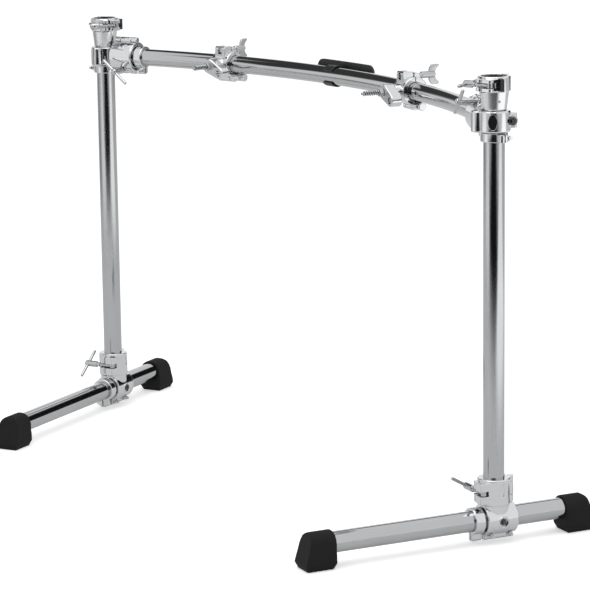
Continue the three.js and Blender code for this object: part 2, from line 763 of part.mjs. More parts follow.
// Right angle clamp between post and bar, in a frame whose X runs inward along the bar and Y to the drummer
function addCornerClamp(side, postX, sign, spin, lockTurn) {
  const inward = new THREE.Vector3(-sign * Math.cos(end_turn), Math.sin(end_turn), 0);
  const toDrummer = new THREE.Vector3(-sign * Math.sin(end_turn), -Math.cos(end_turn), 0);
  const over = inward.clone().cross(toDrummer);
  const origin = new THREE.Vector3(postX, 0, bar_axis_height);
  const clamp = frameIn(rack, axes(inward, toDrummer, over, origin));
  const kit = collarKit({
    tubeRadius: bar_diameter / 2,
    radius: bar_collar_radius,
    height: bar_collar_length,
    earHeight: bar_collar_ear_length,
    bossLength: corner_boss_length,
  });
  const collarStart = post_saddle_radius + running_gap;
  const collarMiddle = collarStart + bar_collar_length / 2;
  const collarFrame = axes(upward, backward, leftward, new THREE.Vector3(collarMiddle, 0, 0));
  const toClamp = collarFrame.elements;
  const half = post_saddle_height / 2;
  const face = split_gap / 2;
  const postBore = rod([0, 0, -overrun], [0, 0, overrun], post_diameter / 2 + seat_gap, tube_sides);
  const barRadius = bar_diameter / 2;
  const barBore = rod([bar_end_inset - seat_gap, 0, 0], [overrun * 4, 0, 0], barRadius + seat_gap, tube_sides);
  const earOut = post_saddle_radius + post_ear_reach;
  const ears = castPrism(
    tongue(0, earOut, -post_ear_thickness, post_ear_thickness, ear_corner),
    -post_ear_height / 2,
    post_ear_height / 2,
    cast_chamfer / 2,
  ).rotate([0, 0, -90]);
  const saddle = drum(post_saddle_radius, -half, half);
  const bulge = drum(hinge_bulge_radius, -half, half).translate([0, post_saddle_radius, 0]);
  const backWeb = rod(
    [collarStart - bar_back_overlap, 0, 0],
    [collarStart + bar_back_overlap, 0, 0],
    half,
    collar_sides,
  ).intersect(box(-overrun, overrun, -overrun, -face, -overrun, overrun));
  const boltY = -post_diameter / 2 - post_bolt_standoff;
  const boltHole = rod([-overrun, boltY, 0], [overrun, boltY, 0], key_bolt_radius + seat_gap);
  const collar = kit.outer.transform(toClamp).subtract(kit.cuts.transform(toClamp));
  const body = joined(collar, saddle, bulge, ears, backWeb)
    .subtract(box(-overrun, face, -overrun, overrun, -overrun, overrun))
    .subtract(postBore)
    .subtract(barBore)
    .subtract(boltHole)
    .add(kit.pins.transform(toClamp));
  piece(`${side}_corner_clamp_body`, body, cast_chrome, clamp);

  // Outer half round the post, with its blank oval recess and key bolt
  const recess = turned([
    [0, -badge_recess_depth],
    [badge_recess_half_height, -badge_recess_depth],
    [badge_recess_half_height, overrun],
    [0, overrun],
  ]).scale([badge_recess_half_width / badge_recess_half_height, 1, 1])
    .transform(axes(front, upward, leftward, new THREE.Vector3(-post_saddle_radius, 0, 0)).elements)
    .rotate([0, 0, badge_recess_turn]);
  const bolt = keyBolt(0, 0, post_ear_thickness / 2 - post_ear_thickness, post_ear_thickness + seat_gap)
    .transform(axes(backward, leftward, upward, new THREE.Vector3(0, boltY, 0)).elements);
  const cap = joined(saddle, bulge, ears)
    .subtract(box(-face, overrun, -overrun, overrun, -overrun, overrun))
    .subtract(postBore)
    .subtract(recess)
    .add(bolt);
  piece(`${side}_corner_clamp_cap`, cap, cast_chrome, clamp);
  const handle = { body: tHandle(kit, handle_rod_length) };
  addLatch(kit, frameIn(clamp, collarFrame), side, 'corner_clamp', handle, spin);

  // Memory locks on the bar and on the post
  const barLockStart = collarStart + bar_collar_length + lock_space;
  const barLockEnd = new THREE.Vector3(barLockStart + bar_lock_width, 0, 0);
  const barLockSolid = memoryLock(barRadius, bar_lock_width);
  const barLock = piece(`${side}_bar_memory_lock`, barLockSolid, cast_chrome, clamp);
  barLock.applyMatrix4(axes(upward, backward, leftward, barLockEnd));
  const postLockSolid = memoryLock(post_diameter / 2, post_lock_width);
  const postLock = piece(`${side}_post_memory_lock`, postLockSolid, cast_chrome, rack);
  postLock.rotation.z = Math.PI / 2 - radians(lockTurn);
  postLock.position.set(postX, 0, bar_axis_height - half - post_lock_space - post_lock_width);
}

// Accessory clamp that travels along the curved part of the bar
function addAccessoryClamp(side, angle, spin) {
  const turn = radians(angle);
  const along = new THREE.Vector3(Math.cos(turn), -Math.sin(turn), 0);
  const away = new THREE.Vector3(Math.sin(turn), Math.cos(turn), 0);
  const orbit = arc_radius - accessory_inset;
  const originY = arc_centre_y + orbit * Math.cos(turn);
  const origin = new THREE.Vector3(orbit * Math.sin(turn), originY, bar_axis_height);
  const clamp = frameIn(rack, axes(along, away, upward, origin));
  const kit = collarKit({
    tubeRadius: bar_diameter / 2,
    radius: accessory_collar_radius,
    height: accessory_collar_length,
    earHeight: accessory_ear_length,
    bossLength: wing_boss_length,
    boreGap: seat_gap + accessory_bore_extra,
  });
  const frame = axes(upward, backward, leftward);
  const lugStart = accessory_collar_length / 2 - cast_chamfer;
  const lugEnd = accessory_collar_length / 2 + side_lug_length;
  const gateRoom = accessory_collar_length / 2 + running_gap;
  const lug = rod(
    [lugStart - side_lug_radius, side_lug_back, -side_lug_drop],
    [lugEnd, side_lug_back, -side_lug_drop],
    side_lug_radius,
  ).subtract(box(-overrun, gateRoom, -split_gap / 2, overrun, -overrun, overrun)).subtract(rod(
    [lugEnd - side_lug_radius, -overrun, -side_lug_drop],
    [lugEnd - side_lug_radius, overrun, -side_lug_drop],
    side_lug_bore,
  ));
  const boss = rod([0, 0, 0], [0, -arm_boss_reach, 0], arm_boss_radius, collar_sides);
  const boreRadius = bar_diameter / 2 + seat_gap + accessory_bore_extra;
  const barBore = rod([-overrun, 0, 0], [overrun, 0, 0], boreRadius, tube_sides);
  const bolt = rod([0, -bar_diameter, 0], [0, -arm_bolt_reach, 0], arm_bolt_radius);
  const body = joined(kit.outer.transform(frame.elements), boss)
    .subtract(kit.cuts.transform(frame.elements))
    .add(lug)
    .subtract(barBore)
    .add(kit.pins.transform(frame.elements));
  piece(`${side}_accessory_clamp_body`, body, cast_chrome, clamp);
  addLatch(kit, frameIn(clamp, frame), side, 'accessory_clamp', { body: wingNut(kit), wing: true }, spin);

  // Arm jaw that swivels on the clamp's front boss
  const jawBack = -arm_boss_reach - running_gap;
  const jawFront = jawBack - arm_jaw_thickness;
  const outline = new THREE.Shape();
  const lean = Math.atan2(arm_lobe_drop, arm_lobe_side);
  const topTurn = Math.PI / 2 - lean;
  outline.absarc(0, 0, arm_jaw_radius, topTurn, topTurn + Math.PI, false);
  outline.absarc(arm_lobe_side, -arm_lobe_drop, arm_lobe_radius, topTurn - Math.PI, topTurn, false);
  outline.closePath();
  const standing = axes(rightward, upward, front, new THREE.Vector3(0, jawBack, 0)).elements;
  const armBore = rod([0, -overrun * 2, 0], [0, 0, 0], arm_bore_radius).translate(arm_lobe_side, 0, -arm_lobe_drop);
  const jaw = castPrism(outline, 0, arm_jaw_thickness, cast_chamfer, 3)
    .transform(standing)
    .subtract(rod([0, -overrun * 2, 0], [0, 0, 0], arm_bolt_radius + seat_gap))
    .subtract(armBore);
  piece(`${side}_accessory_arm_jaw`, jaw, cast_chrome, clamp);

  // Arm bolt through the jaw with its seating nut
  const nutSeat = jawFront - seat_gap;
  const nut = rod([0, nutSeat, 0], [0, nutSeat - arm_nut_length, 0], arm_nut_radius, 6);
  const clearOfBoss = box(-overrun, overrun, -overrun * 3, -arm_boss_reach - seat_gap, -overrun, overrun);
  const nutted = bolt.intersect(clearOfBoss).add(nut);
  piece(`${side}_accessory_arm_bolt`, nutted, bolt_chrome, clamp);
}

// Blank name plate on the far side of the bar, with its clip
function addNamePlate() {
  const radius = bar_diameter / 2;
  const place = frameIn(rack, moved(0, arc_centre_y, bar_axis_height));
  const nearFace = arc_radius + radius + plate_stand_off;
  const leftTurn = Math.PI / 2 - plate_left_end / arc_radius;
  const rightTurn = Math.PI / 2 - plate_right_end / arc_radius;
  const outline = new THREE.Shape();
  const low = plate_rise - plate_corner;
  outline.moveTo(plate_left_end, -plate_drop);
  outline.lineTo(plate_right_end, -plate_drop);
  outline.lineTo(plate_right_end, low);
  outline.absarc(plate_right_end - plate_corner, low, plate_corner, 0, Math.PI / 2, false);
  outline.lineTo(plate_left_end + plate_corner, plate_rise);
  outline.absarc(plate_left_end + plate_corner, low, plate_corner, Math.PI / 2, Math.PI, false);
  outline.closePath();
  const face = prism(outline, -nearFace - plate_thickness - overrun, -nearFace + overrun, 6)
    .transform(axes(rightward, upward, front).elements);
  const shell = new THREE.Shape();
  shell.absarc(0, 0, nearFace + plate_thickness, rightTurn, leftTurn, false);
  shell.absarc(0, 0, nearFace, leftTurn, rightTurn, true);
  shell.closePath();
  const plate = prism(shell, -plate_drop - overrun, plate_rise + overrun, 10).intersect(face);
  piece('name_plate', plate, black_plastic, place);

  const turn = clip_shift / arc_radius;
  const clipAt = new THREE.Vector3(arc_radius * Math.sin(turn), arc_radius * Math.cos(turn), 0);
  const along = new THREE.Vector3(Math.cos(turn), -Math.sin(turn), 0);
  const away = new THREE.Vector3(Math.sin(turn), Math.cos(turn), 0);
  const clipFrame = frameIn(place, axes(away, upward, along, clipAt));
  const inner = radius + clip_gap;
  const outer = inner + clip_wall;
  const open = radians(clip_mouth) / 2;
  const section = new THREE.Shape();
  section.absarc(0, 0, outer, -Math.PI + open, Math.PI - open, false);
  section.absarc(0, 0, inner, Math.PI - open, -Math.PI + open, true);
  section.closePath();
  const backPad = rectangle(inner, outer, -plate_drop / 2, plate_drop / 2);
  const halfClip = clip_length / 2;
  const clip = joined(prism(section, -halfClip, halfClip, 6), prism(backPad, -halfClip, halfClip));
  piece('name_plate_clip', clip, black_plastic, clipFrame);
}

const half_spacing = post_spacing / 2;
addCornerClamp('left', -half_spacing, -1, left_corner_handle_spin, left_post_lock_turn);
addCornerClamp('right', half_spacing, 1, right_corner_handle_spin, right_post_lock_turn);
addPost('left', -half_spacing, left_holder_turn, holder_handle_spin);
addPost('right', half_spacing, right_holder_turn, holder_handle_spin);
addLeg(
  'left',
  -half_spacing,
  left_leg_yaw,
  left_leg_handle_spin,
  left_leg_front_reach,
  left_leg_back_reach,
);
addLeg(
  'right',
  half_spacing,
  right_leg_yaw,
  right_leg_handle_spin,
  right_leg_front_reach,
  right_leg_back_reach,
);
addAccessoryClamp('left', left_accessory_angle, wing_nut_spin);
addAccessoryClamp('right', right_accessory_angle, wing_nut_spin);
addNamePlate();

// The origin lies on the floor under the middle of the rack's box
rack.updateMatrixWorld(true);
const reach = new THREE.Box3().setFromObject(rack, true);
const middle = reach.getCenter(new THREE.Vector3());
rack.position.set(-middle.x, -middle.y, -reach.min.z);

export default rack;
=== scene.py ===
import math

import bmesh
import bpy
from mathutils import Matrix, Vector


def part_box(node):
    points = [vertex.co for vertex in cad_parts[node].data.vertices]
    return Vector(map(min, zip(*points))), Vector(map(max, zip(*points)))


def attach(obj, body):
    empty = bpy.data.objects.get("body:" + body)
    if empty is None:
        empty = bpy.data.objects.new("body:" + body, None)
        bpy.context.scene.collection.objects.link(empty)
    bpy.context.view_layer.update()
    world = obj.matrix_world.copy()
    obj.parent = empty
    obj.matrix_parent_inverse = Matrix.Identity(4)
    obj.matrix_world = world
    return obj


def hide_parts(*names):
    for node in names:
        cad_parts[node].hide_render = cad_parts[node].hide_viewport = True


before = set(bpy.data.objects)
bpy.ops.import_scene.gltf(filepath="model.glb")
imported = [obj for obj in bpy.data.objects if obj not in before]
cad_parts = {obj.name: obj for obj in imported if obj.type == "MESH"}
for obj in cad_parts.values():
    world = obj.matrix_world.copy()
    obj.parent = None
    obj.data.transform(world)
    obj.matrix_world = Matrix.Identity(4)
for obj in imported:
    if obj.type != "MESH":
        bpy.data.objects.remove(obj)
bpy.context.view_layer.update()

# Lengths are millimetres until a finished piece is scaled to metres
MM = 0.001

# Closer than this, points are merged, slivers dissolved and heights taken as level
MERGE = 0.0005
SLIVER = 0.002
LEVEL = 0.001

# Rack layout
POST_SPACING = 1304
LEG_HEIGHT = 43
BAR_HEIGHT = 758
BAR_END_TURN = math.radians(23.3)
BAR_STRAIGHT_END = 112
BAR_END_INSET = 31.5
LEG_YAW = {"left": -27.6, "right": 9}
LEG_FRONT = {"left": 407, "right": 367}
LEG_BACK = {"left": 195, "right": 181}
POST_LENGTH = 762
POST_RISE = 22

# Tubes
POST_RADIUS = 19.05
BAR_RADIUS = 17.5
WALL = 1.8
SEAT = 0.42
RUN = 0.8
SPLIT = 1.6
OVERRUN = 60

# Collar kit
BOLT_STANDOFF = 10
HINGE_STANDOFF = 3.5
BARREL = 6
PIN = 2.4
EAR_EDGE = 6.5
BODY_EAR_EDGE = 9.5
BODY_EAR_DEPTH = 23
GATE_EAR_DEPTH = 13
PIVOT_DEPTH = 15
SLOT_HALF = 4.7
SLOT_BACK = 6.2
EAR_CORNER = 5
CAST_EDGE = 2.2
FINE_EDGE = 1
KEEN_EDGE = 0.5
PIN_EDGE = 0.4

# Swing bolts and handles
BOLT_RADIUS = 3.4
SHANK_RADIUS = BOLT_RADIUS - 0.15
EYE_RADIUS = 5.4
EYE_HALF = 4.2
EYE_EDGE = 0.6
NOSE_RADIUS = 4.3
NOSE_LENGTH = 7
NOSE_OFF = 2
BOSS_RADIUS = 6.5
BOSS_SHOULDER = 0.8
DOME_RISE = 0.6 * BOSS_RADIUS
DOME_STEP = 15
ROD_RADIUS = 3.1
ROD_LENGTH = 74
ROD_FROM_END = 7
ROD_ROUND = 0.75 * ROD_RADIUS
BOSS = {"leg_clamp": 30, "corner_clamp": 33, "top_holder": 19, "accessory_clamp": 30}
WING_SPAN = 38
WING_RISE = 8
WING_THICKNESS = 4
WING_EDGE = 1.4
HANDLE_SPIN = {
    "left_corner_clamp": -40,
    "right_corner_clamp": 40,
    "left_top_holder": 85,
    "right_top_holder": 85,
    "left_leg_clamp": 53,
    "right_leg_clamp": -60,
    "left_accessory_clamp": 0,
    "right_accessory_clamp": 0,
}

# T leg clamp
LEG_COLLAR_RADIUS = 30
LEG_COLLAR_HEIGHT = 48
LEG_COLLAR_BOTTOM = 28
LEG_COLLAR_EARS = 38
NECK_RADIUS = 27.5
SADDLE_RADIUS = 29
SADDLE_FRONT = 26
SADDLE_BACK = 36
JAW_TOP = 11
FLANGE_DEPTH = 37
FLANGE_THICKNESS = 9
FLANGE_INSET = 3
SADDLE_BOLT = (5, -2)
SADDLE_BOLT_RIM = 11
SADDLE_BOLT_WELL = 8.6
SADDLE_RIM_DEPTH = 8
SADDLE_RIM_RISE = 0.6
SADDLE_WELL_DEPTH = 5
SADDLE_HEAD_GAP = 2.2
SADDLE_HEAD_BACK = 7
SADDLE_HEAD_FRONT = 1.8
SADDLE_DRIVE_BACK = 3
SADDLE_DRIVE_RISE = 0.4
COLLAR_OVAL_RISE = 4
COLLAR_OVAL_HALF = 12.3
COLLAR_OVAL_SQUASH = 0.42
JAW_BOLTS = (-12, 27)
JAW_BOLT_DROP = 30

# Key bolts
KEY_RADIUS = 2.8
KEY_HEAD_RADIUS = 5.2
KEY_HEAD_LENGTH = 5
KEY_SQUARE = 2.6
KEY_SQUARE_LENGTH = 5
KEY_FLANGE = 1.6
KEY_HEAD_STEP = 0.8
KEY_SINK = 1
SQUARE_EDGE = 0.4

# Threads and springs
THREAD_PITCH = 1.25
THREAD_DEPTH = 0.2
THREAD_ROOT = 0.3
THREAD_FLANK = 0.42
THREAD_STEPS = 20
COIL_STEPS = 26
COIL_SIDES = 10

# Memory locks
LEG_LOCK_WIDTH = 19.5
BAR_LOCK_WIDTH = 17
POST_LOCK_WIDTH = 16
LOCK_WALL = 5
LOCK_EAR = 12
LOCK_EAR_THICKNESS = 7
LOCK_SLIT = 2.4
LOCK_SPACE = 2.6
LOCK_EDGE = 1.6
POST_LOCK_SPACE = 1.2
POST_LOCK_TURN = {"left": 263, "right": 97}

# Right angle clamp
POST_SADDLE_RADIUS = 29
POST_SADDLE_HEIGHT = 38
BAR_COLLAR_RADIUS = 31
BAR_COLLAR_LENGTH = 54
BAR_COLLAR_EARS = 34
BACK_OVERLAP = 10
POST_EAR_REACH = 11
POST_BOLT_STANDOFF = 10
POST_EAR_THICKNESS = 9
POST_EAR_HEIGHT = 26
RECESS_HALF_WIDTH = 8
RECESS_HALF_HEIGHT = 14
RECESS_DEPTH = 1.2
RECESS_TURN = -20
BULGE_RADIUS = 12.5
POST_SADDLE_EDGE = 3.2
EAR_BOSS_RADIUS = 10.8
EAR_BOSS_RISE = 3.4
EAR_BOLT_RADIUS = 7.4
EAR_BOLT_RISE = 6
EAR_BOLT_EDGE = 1.2
EAR_SQUARE = KEY_SQUARE + 0.6
EAR_SQUARE_EDGE = 0.6

# Top tube holder
CUP_HEIGHT = 32
CUP_TOP_RADIUS = 26
CUP_BOTTOM_RADIUS = 22.5
CUP_ROUND = 0.3
CUP_ROUND_HEIGHT = 0.8
RIVET_RADIUS = 2.4
RIVET_EDGE = 0.6
RIVET_INSET = 2
RIVET_DEPTH = 0.9
HOLDER_RADIUS = 29
HOLDER_HEIGHT = 27
HOLDER_EARS = 22
HOLDER_ROD = 52
LINER_WALL = 3
LINER_GAP = 0.6
LINER_HEIGHT = 24
LINER_LIP = 2.6
LINER_EDGE = 0.6
LINER_KEY_EDGE = 0.8
LINER_KEY_HALF = 3.5
LINER_KEY_REACH = 9
LINER_KEY_BRIDGE = 2.2
LINER_KEY_TURN = -59
HOLDER_TURN = {"left": 105, "right": 165}

# Accessory clamps
ACCESSORY_RADIUS = 27
ACCESSORY_LENGTH = 42
ACCESSORY_EARS = 26
ACCESSORY_BORE = 0.3
ACCESSORY_INSET = 0.27
ACCESSORY_TURN = {"left": -14.8, "right": 9.5}
ARM_BOSS_RADIUS = 13
ARM_BOSS_REACH = 36
ARM_BOSS_EDGE = 1.2
ARM_JAW_THICKNESS = 22
ARM_JAW_RADIUS = 15
ARM_LOBE_RADIUS = 12
ARM_LOBE_SIDE = 26
ARM_LOBE_DROP = 13
ARM_BORE = 6.4
ARM_BOLT_RADIUS = 3
ARM_SHANK_RADIUS = ARM_BOLT_RADIUS - 0.4
ARM_BOLT_EDGE = 0.8
ARM_BOLT_REACH = 104
ARM_NUT_RADIUS = 8.5
ARM_NUT_LENGTH = 8
ARM_THREAD_PITCH = 1.1
ARM_THREAD_DEPTH = 0.35
ARM_THREAD_START = 0.3
ARM_THREAD_INSET = 3
ARM_SPRING_WIRE = 1.1
ARM_SPRING_TURNS = 7
ARM_SPRING_START = 1.2
ARM_SPRING_INSET = 4
LUG_RADIUS = 8
LUG_LENGTH = 26
LUG_BACK = 1
LUG_DROP = 26
LUG_BORE = 3.6
LUG_EDGE = 1.6

# Name plate and clip
PLATE_LEFT = -124
PLATE_RIGHT = 57
PLATE_RISE = 27
PLATE_DROP = 14
PLATE_THICKNESS = 4
PLATE_STANDOFF = 4
PLATE_CORNER = 17
CLIP_LENGTH = 28
CLIP_WALL = 2.4
CLIP_GAP = 1.1
CLIP_MOUTH = 70
CLIP_SHIFT = -46

# Rubber feet
FOOT_LENGTH = 60
FOOT_END_WALL = 17
FOOT_WALL = 4.4
FOOT_FLARE = 1.6
FOOT_KNEE = 11
FOOT_INSET = 5
FOOT_SLOPE = 12
FOOT_NOSE = 12
FOOT_LIP = 3
FOOT_VOXEL = 1.1
FOOT_SMOOTHING = 6
FOOT_ANGLE = 50
TREADS = 5
TREAD_RADIUS = 2.2
TREAD_DEPTH = 0.9

# Sides and steps of round forms, and the angle in degrees past which an edge stays sharp
TUBE_SIDES = 96
ROUND = 72
FINE = 40
SMALL = 28
BAR_STEPS = 120
CORNER_STEPS = 8
PLATE_STEPS = 36
CLIP_STEPS = 48
SHARP_ANGLE = 33

SIDES = (("left", -1), ("right", 1))


# Finishes


class Wire:
    """A shader socket that can be added to and multiplied."""

    def __init__(self, tree, socket):
        self.tree = tree
        self.socket = socket

    def _math(self, operation, other):
        return node(self.tree, "ShaderNodeMath", {"operation": operation}, {0: self, 1: other})

    def __add__(self, other):
        return self._math("ADD", other)

    def __mul__(self, other):
        return self._math("MULTIPLY", other)

    __radd__ = __add__
    __rmul__ = __mul__

    def clamped(self):
        return node(self.tree, "ShaderNodeClamp", {}, {0: self})


def node(tree, kind, settings, inputs, output=0):
    """Adds a node, sets it, then feeds its sockets with values or wires."""
    made = tree.nodes.new(kind)
    for key, value in settings.items():
        if key == "stops":
            band = made.color_ramp
            while len(band.elements) < len(value):
                band.elements.new(0.5)
            for element, (place, colour) in zip(band.elements, value):
                element.position = place
                element.color = colour
        else:
            setattr(made, key, value)
    for key, value in inputs.items():
        if isinstance(value, Wire):
            tree.links.new(value.socket, made.inputs[key])
        else:
            made.inputs[key].default_value = value
    return Wire(tree, made.outputs[output]) if made.outputs else None


def new_material(name):
    material = bpy.data.materials.new(name)
    material.use_nodes = True
    tree = material.node_tree
    tree.nodes.clear()
    return material, tree


def object_place(tree):
    return node(tree, "ShaderNodeTexCoord", {}, {}, "Object")


def noise(tree, place, scale, detail):
    return node(
        tree,
        "ShaderNodeTexNoise",
        {},
        {"Vector": place, "Scale": scale, "Detail": detail, "Roughness": 0.5},
        "Fac",
    )


def grey(level):
    return (level, level, level, 1)


def ramp(tree, share, *stops):
    """Colour that runs through the stops as the share rises."""
    return node(tree, "ShaderNodeValToRGB", {"stops": stops}, {"Fac": share})


def bump(tree, height, depth, more):
    """Normal of a relief whose full depth is in millimetres."""
    return node(tree, "ShaderNodeBump", {}, {"Height": height, "Distance": depth * MM, **more})


def output_shader(tree, shader):
    node(tree, "ShaderNodeOutputMaterial", {}, {"Surface": shader})


def surfaced(material, tree, sockets):
    """The material, its Principled surface fed by these sockets."""
    output_shader(tree, node(tree, "ShaderNodeBsdfPrincipled", {}, sockets))
    return material


def chrome_finish(name, colour, roughness, haze, ripple, edge):
    """Plated metal: faint polishing haze, with a ripple and softened edges in millimetres."""
    material, tree = new_material(name)
    place = object_place(tree)
    smear = noise(tree, place, scale=9, detail=4)
    specks = noise(tree, place, scale=900, detail=2)
    dull = tuple(0.93 * c for c in colour)
    soft_edge = node(tree, "ShaderNodeBevel", {"samples": 4}, {"Radius": edge * MM})
    waves = noise(tree, place, scale=60, detail=2)
    sockets = {
        "Base Color": ramp(tree, smear, (0.25, (*dull, 1)), (0.75, (*colour, 1))),
        "Metallic": 1.0,
        "Roughness": roughness + haze * smear + 0.25 * haze * specks,
        "Normal": bump(tree, waves, ripple, {"Strength": 1.0, "Normal": soft_edge}),
    }
    return surfaced(material, tree, sockets)


def rubber_finish():
    """Matt moulded rubber with a fine skin and pale scuffs."""
    material, tree = new_material("moulded_rubber")
    place = object_place(tree)
    cloud = noise(tree, place, scale=22, detail=4)
    skin = noise(tree, place, scale=1400, detail=2)
    voronoi = {"Vector": place, "Scale": 700}
    pores = node(tree, "ShaderNodeTexVoronoi", {"feature": "F1"}, voronoi, "Distance")
    scuffs = cloud * 0.8 + skin * 0.2
    sockets = {
        "Base Color": ramp(tree, scuffs, (0.3, grey(0.007)), (0.62, grey(0.011)), (0.9, grey(0.018))),
        "Roughness": 0.62 + 0.2 * cloud,
        "Specular IOR Level": 0.2,
        "Normal": bump(tree, skin + pores * 0.5, 0.12, {"Strength": 0.5}),
    }
    return surfaced(material, tree, sockets)


def plastic_finish():
    """Satin black plastic with a fine moulded grain."""
    material, tree = new_material("satin_black_plastic")
    place = object_place(tree)
    cloud = noise(tree, place, scale=30, detail=3)
    grain = noise(tree, place, scale=2200, detail=2)
    sockets = {
        "Base Color": ramp(tree, cloud, (0.2, grey(0.008)), (0.8, grey(0.014))),
        "Roughness": 0.36 + 0.12 * cloud,
        "Normal": bump(tree, grain, 0.05, {"Strength": 0.4}),
    }
    return surfaced(material, tree, sockets)


BRIGHT = (0.5, 0.51, 0.52)
PALE = (0.7, 0.71, 0.72)
DARK = (0.12, 0.12, 0.125)
TUBE_CHROME = chrome_finish("tube_chrome", BRIGHT, roughness=0.05, haze=0.05, ripple=0.0015, edge=0.4)
CAST_CHROME = chrome_finish("cast_chrome", PALE, roughness=0.07, haze=0.06, ripple=0.006, edge=0.9)
BOLT_CHROME = chrome_finish("bolt_chrome", BRIGHT, roughness=0.1, haze=0.06, ripple=0.002, edge=0.5)
DARK_STEEL = chrome_finish("dark_thread_steel", DARK, roughness=0.25, haze=0.08, ripple=0.002, edge=0.2)
RUBBER = rubber_finish()
PLASTIC = plastic_finish()
SLOT_OF = {
    "tube_chrome": TUBE_CHROME,
    "cast_chrome": CAST_CHROME,
    "bolt_chrome": BOLT_CHROME,
    "black_rubber": RUBBER,
    "black_plastic": PLASTIC,
}


# Forms


def mesh_from(bm):
    bmesh.ops.remove_doubles(bm, verts=bm.verts, dist=MERGE)
    bmesh.ops.recalc_face_normals(bm, faces=bm.faces)
    mesh = bpy.data.meshes.new("form")
    bm.to_mesh(mesh)
    bm.free()
    return mesh


def soften(bm, edges, width, segments=3):
    """Rounds the given edges."""
    bmesh.ops.bevel(
        bm,
        geom=edges,
        offset=width,
        offset_type="OFFSET",
        segments=segments,
        profile=0.5,
        affect="EDGES",
        material=-1,
        clamp_overlap=True,
    )


def level_edges(bm):
    """Edges that lie level, such as the rims of a drum or prism."""
    return [e for e in bm.edges if abs(e.verts[0].co.z - e.verts[1].co.z) < LEVEL]


def placed(mesh, matrix):
    copy = mesh.copy()
    copy.transform(matrix)
    if matrix.determinant() < 0:
        copy.flip_normals()
    return copy


def shifted(mesh, x, y, z):
    return placed(mesh, Matrix.Translation((x, y, z)))


def turn_z(degrees):
    return Matrix.Rotation(math.radians(degrees), 4, "Z")


def axes(x, y, z, origin=(0, 0, 0)):
    """Frame whose X, Y and Z axes point along the given directions."""
    columns = Matrix((x, y, z)).transposed().to_4x4()
    return Matrix.Translation(origin) @ columns


def drum(radius, bottom, top, edge=CAST_EDGE, segments=ROUND):
    """Drum about Z with rounded rims."""
    bm = bmesh.new()
    bmesh.ops.create_cone(
        bm,
        cap_ends=True,
        segments=segments,
        radius1=radius,
        radius2=radius,
        depth=top - bottom,
    )
    bmesh.ops.translate(bm, verts=bm.verts, vec=(0, 0, (top + bottom) / 2))
    if edge:
        soften(bm, level_edges(bm), edge)
    return mesh_from(bm)


def rod(start, end, radius, edge=0, segments=FINE):
    """Round bar from one point to another."""
    along = Vector(end) - Vector(start)
    turn = along.to_track_quat("Z", "X").to_matrix().to_4x4()
    return placed(drum(radius, 0, along.length, edge, segments), Matrix.Translation(start) @ turn)


def bore(half, radius):
    """Long round cutter about Z."""
    return rod((0, 0, -half), (0, 0, half), radius, 0, ROUND)


def turned(profile, segments=ROUND):
    """Solid of revolution about Z from pairs of radius and height."""
    bm = bmesh.new()
    points = [bm.verts.new((radius, 0, height)) for radius, height in profile]
    edges = [bm.edges.new(pair) for pair in zip(points, points[1:])]
    bmesh.ops.spin(
        bm,
        geom=points + edges,
        cent=(0, 0, 0),
        axis=(0, 0, 1),
        angle=math.tau,
        steps=segments,
        use_merge=True,
    )
    return mesh_from(bm)


def prism(outline, bottom, top, edge=0, corners=(), corner=0):
    """Straight prism from an outline in XY. Numbered corners are rounded first, then both end rims."""
    bm = bmesh.new()
    ring = [bm.verts.new((x, y, bottom)) for x, y in outline]
    face = bm.faces.new(ring)
    grown = bmesh.ops.extrude_face_region(bm, geom=[face])
    lifted = [v for v in grown["geom"] if isinstance(v, bmesh.types.BMVert)]
    bmesh.ops.translate(bm, verts=lifted, vec=(0, 0, top - bottom))
    if corners:
        wanted = [Vector(outline[i]) for i in corners]
        uprights = [
            e
            for e in bm.edges
            if abs(e.verts[0].co.z - e.verts[1].co.z) > LEVEL
            and any((e.verts[0].co.xy - w).length < LEVEL for w in wanted)
        ]
        soften(bm, uprights, corner, CORNER_STEPS)
    if edge:
        soften(bm, level_edges(bm), edge)
    return mesh_from(bm)


def rectangle(left, right, low, high):
    return [(left, low), (right, low), (right, high), (left, high)]


def tongue(left, right, low, high, bottom, top):
    """Clamp ear: a block whose two far corners are rounded."""
    return prism(rectangle(left, right, low, high), bottom, top, FINE_EDGE, (1, 2), EAR_CORNER)


def box(left, right, low, high, bottom, top, edge=0):
    return prism(rectangle(left, right, low, high), bottom, top, edge)


def arc(cx, cy, radius, start, end, steps=24):
    """Points round an arc, angles in degrees."""
    swing = math.radians(end - start) / steps
    first = math.radians(start)
    return [
        (cx + radius * math.cos(first + swing * i), cy + radius * math.sin(first + swing * i))
        for i in range(steps + 1)
    ]


def carve(base, *steps):
    """Joins ("UNION"), cuts ("DIFFERENCE") or keeps ("INTERSECT") with each mesh in turn."""
    work = bpy.data.objects.new("work", base)
    bpy.context.scene.collection.objects.link(work)
    tools = []
    for operation, mesh in steps:
        tool = bpy.data.objects.new("tool", mesh)
        bpy.context.scene.collection.objects.link(tool)
        tools.append(tool)
        change = work.modifiers.new("carve", "BOOLEAN")
        change.operation = operation
        change.object = tool
        change.solver = "MANIFOLD"
    bpy.context.view_layer.update()
    seen = work.evaluated_get(bpy.context.evaluated_depsgraph_get())
    result = bpy.data.meshes.new_from_object(seen)
    for used in [work, *tools]:
        bpy.data.objects.remove(used)
    return result


def adding(*meshes):
    return [("UNION", m) for m in meshes]


def taking(*meshes):
    return [("DIFFERENCE", m) for m in meshes]


def join(base, *meshes):
    return carve(base, *adding(*meshes))


def cut(base, *meshes):
    return carve(base, *taking(*meshes))


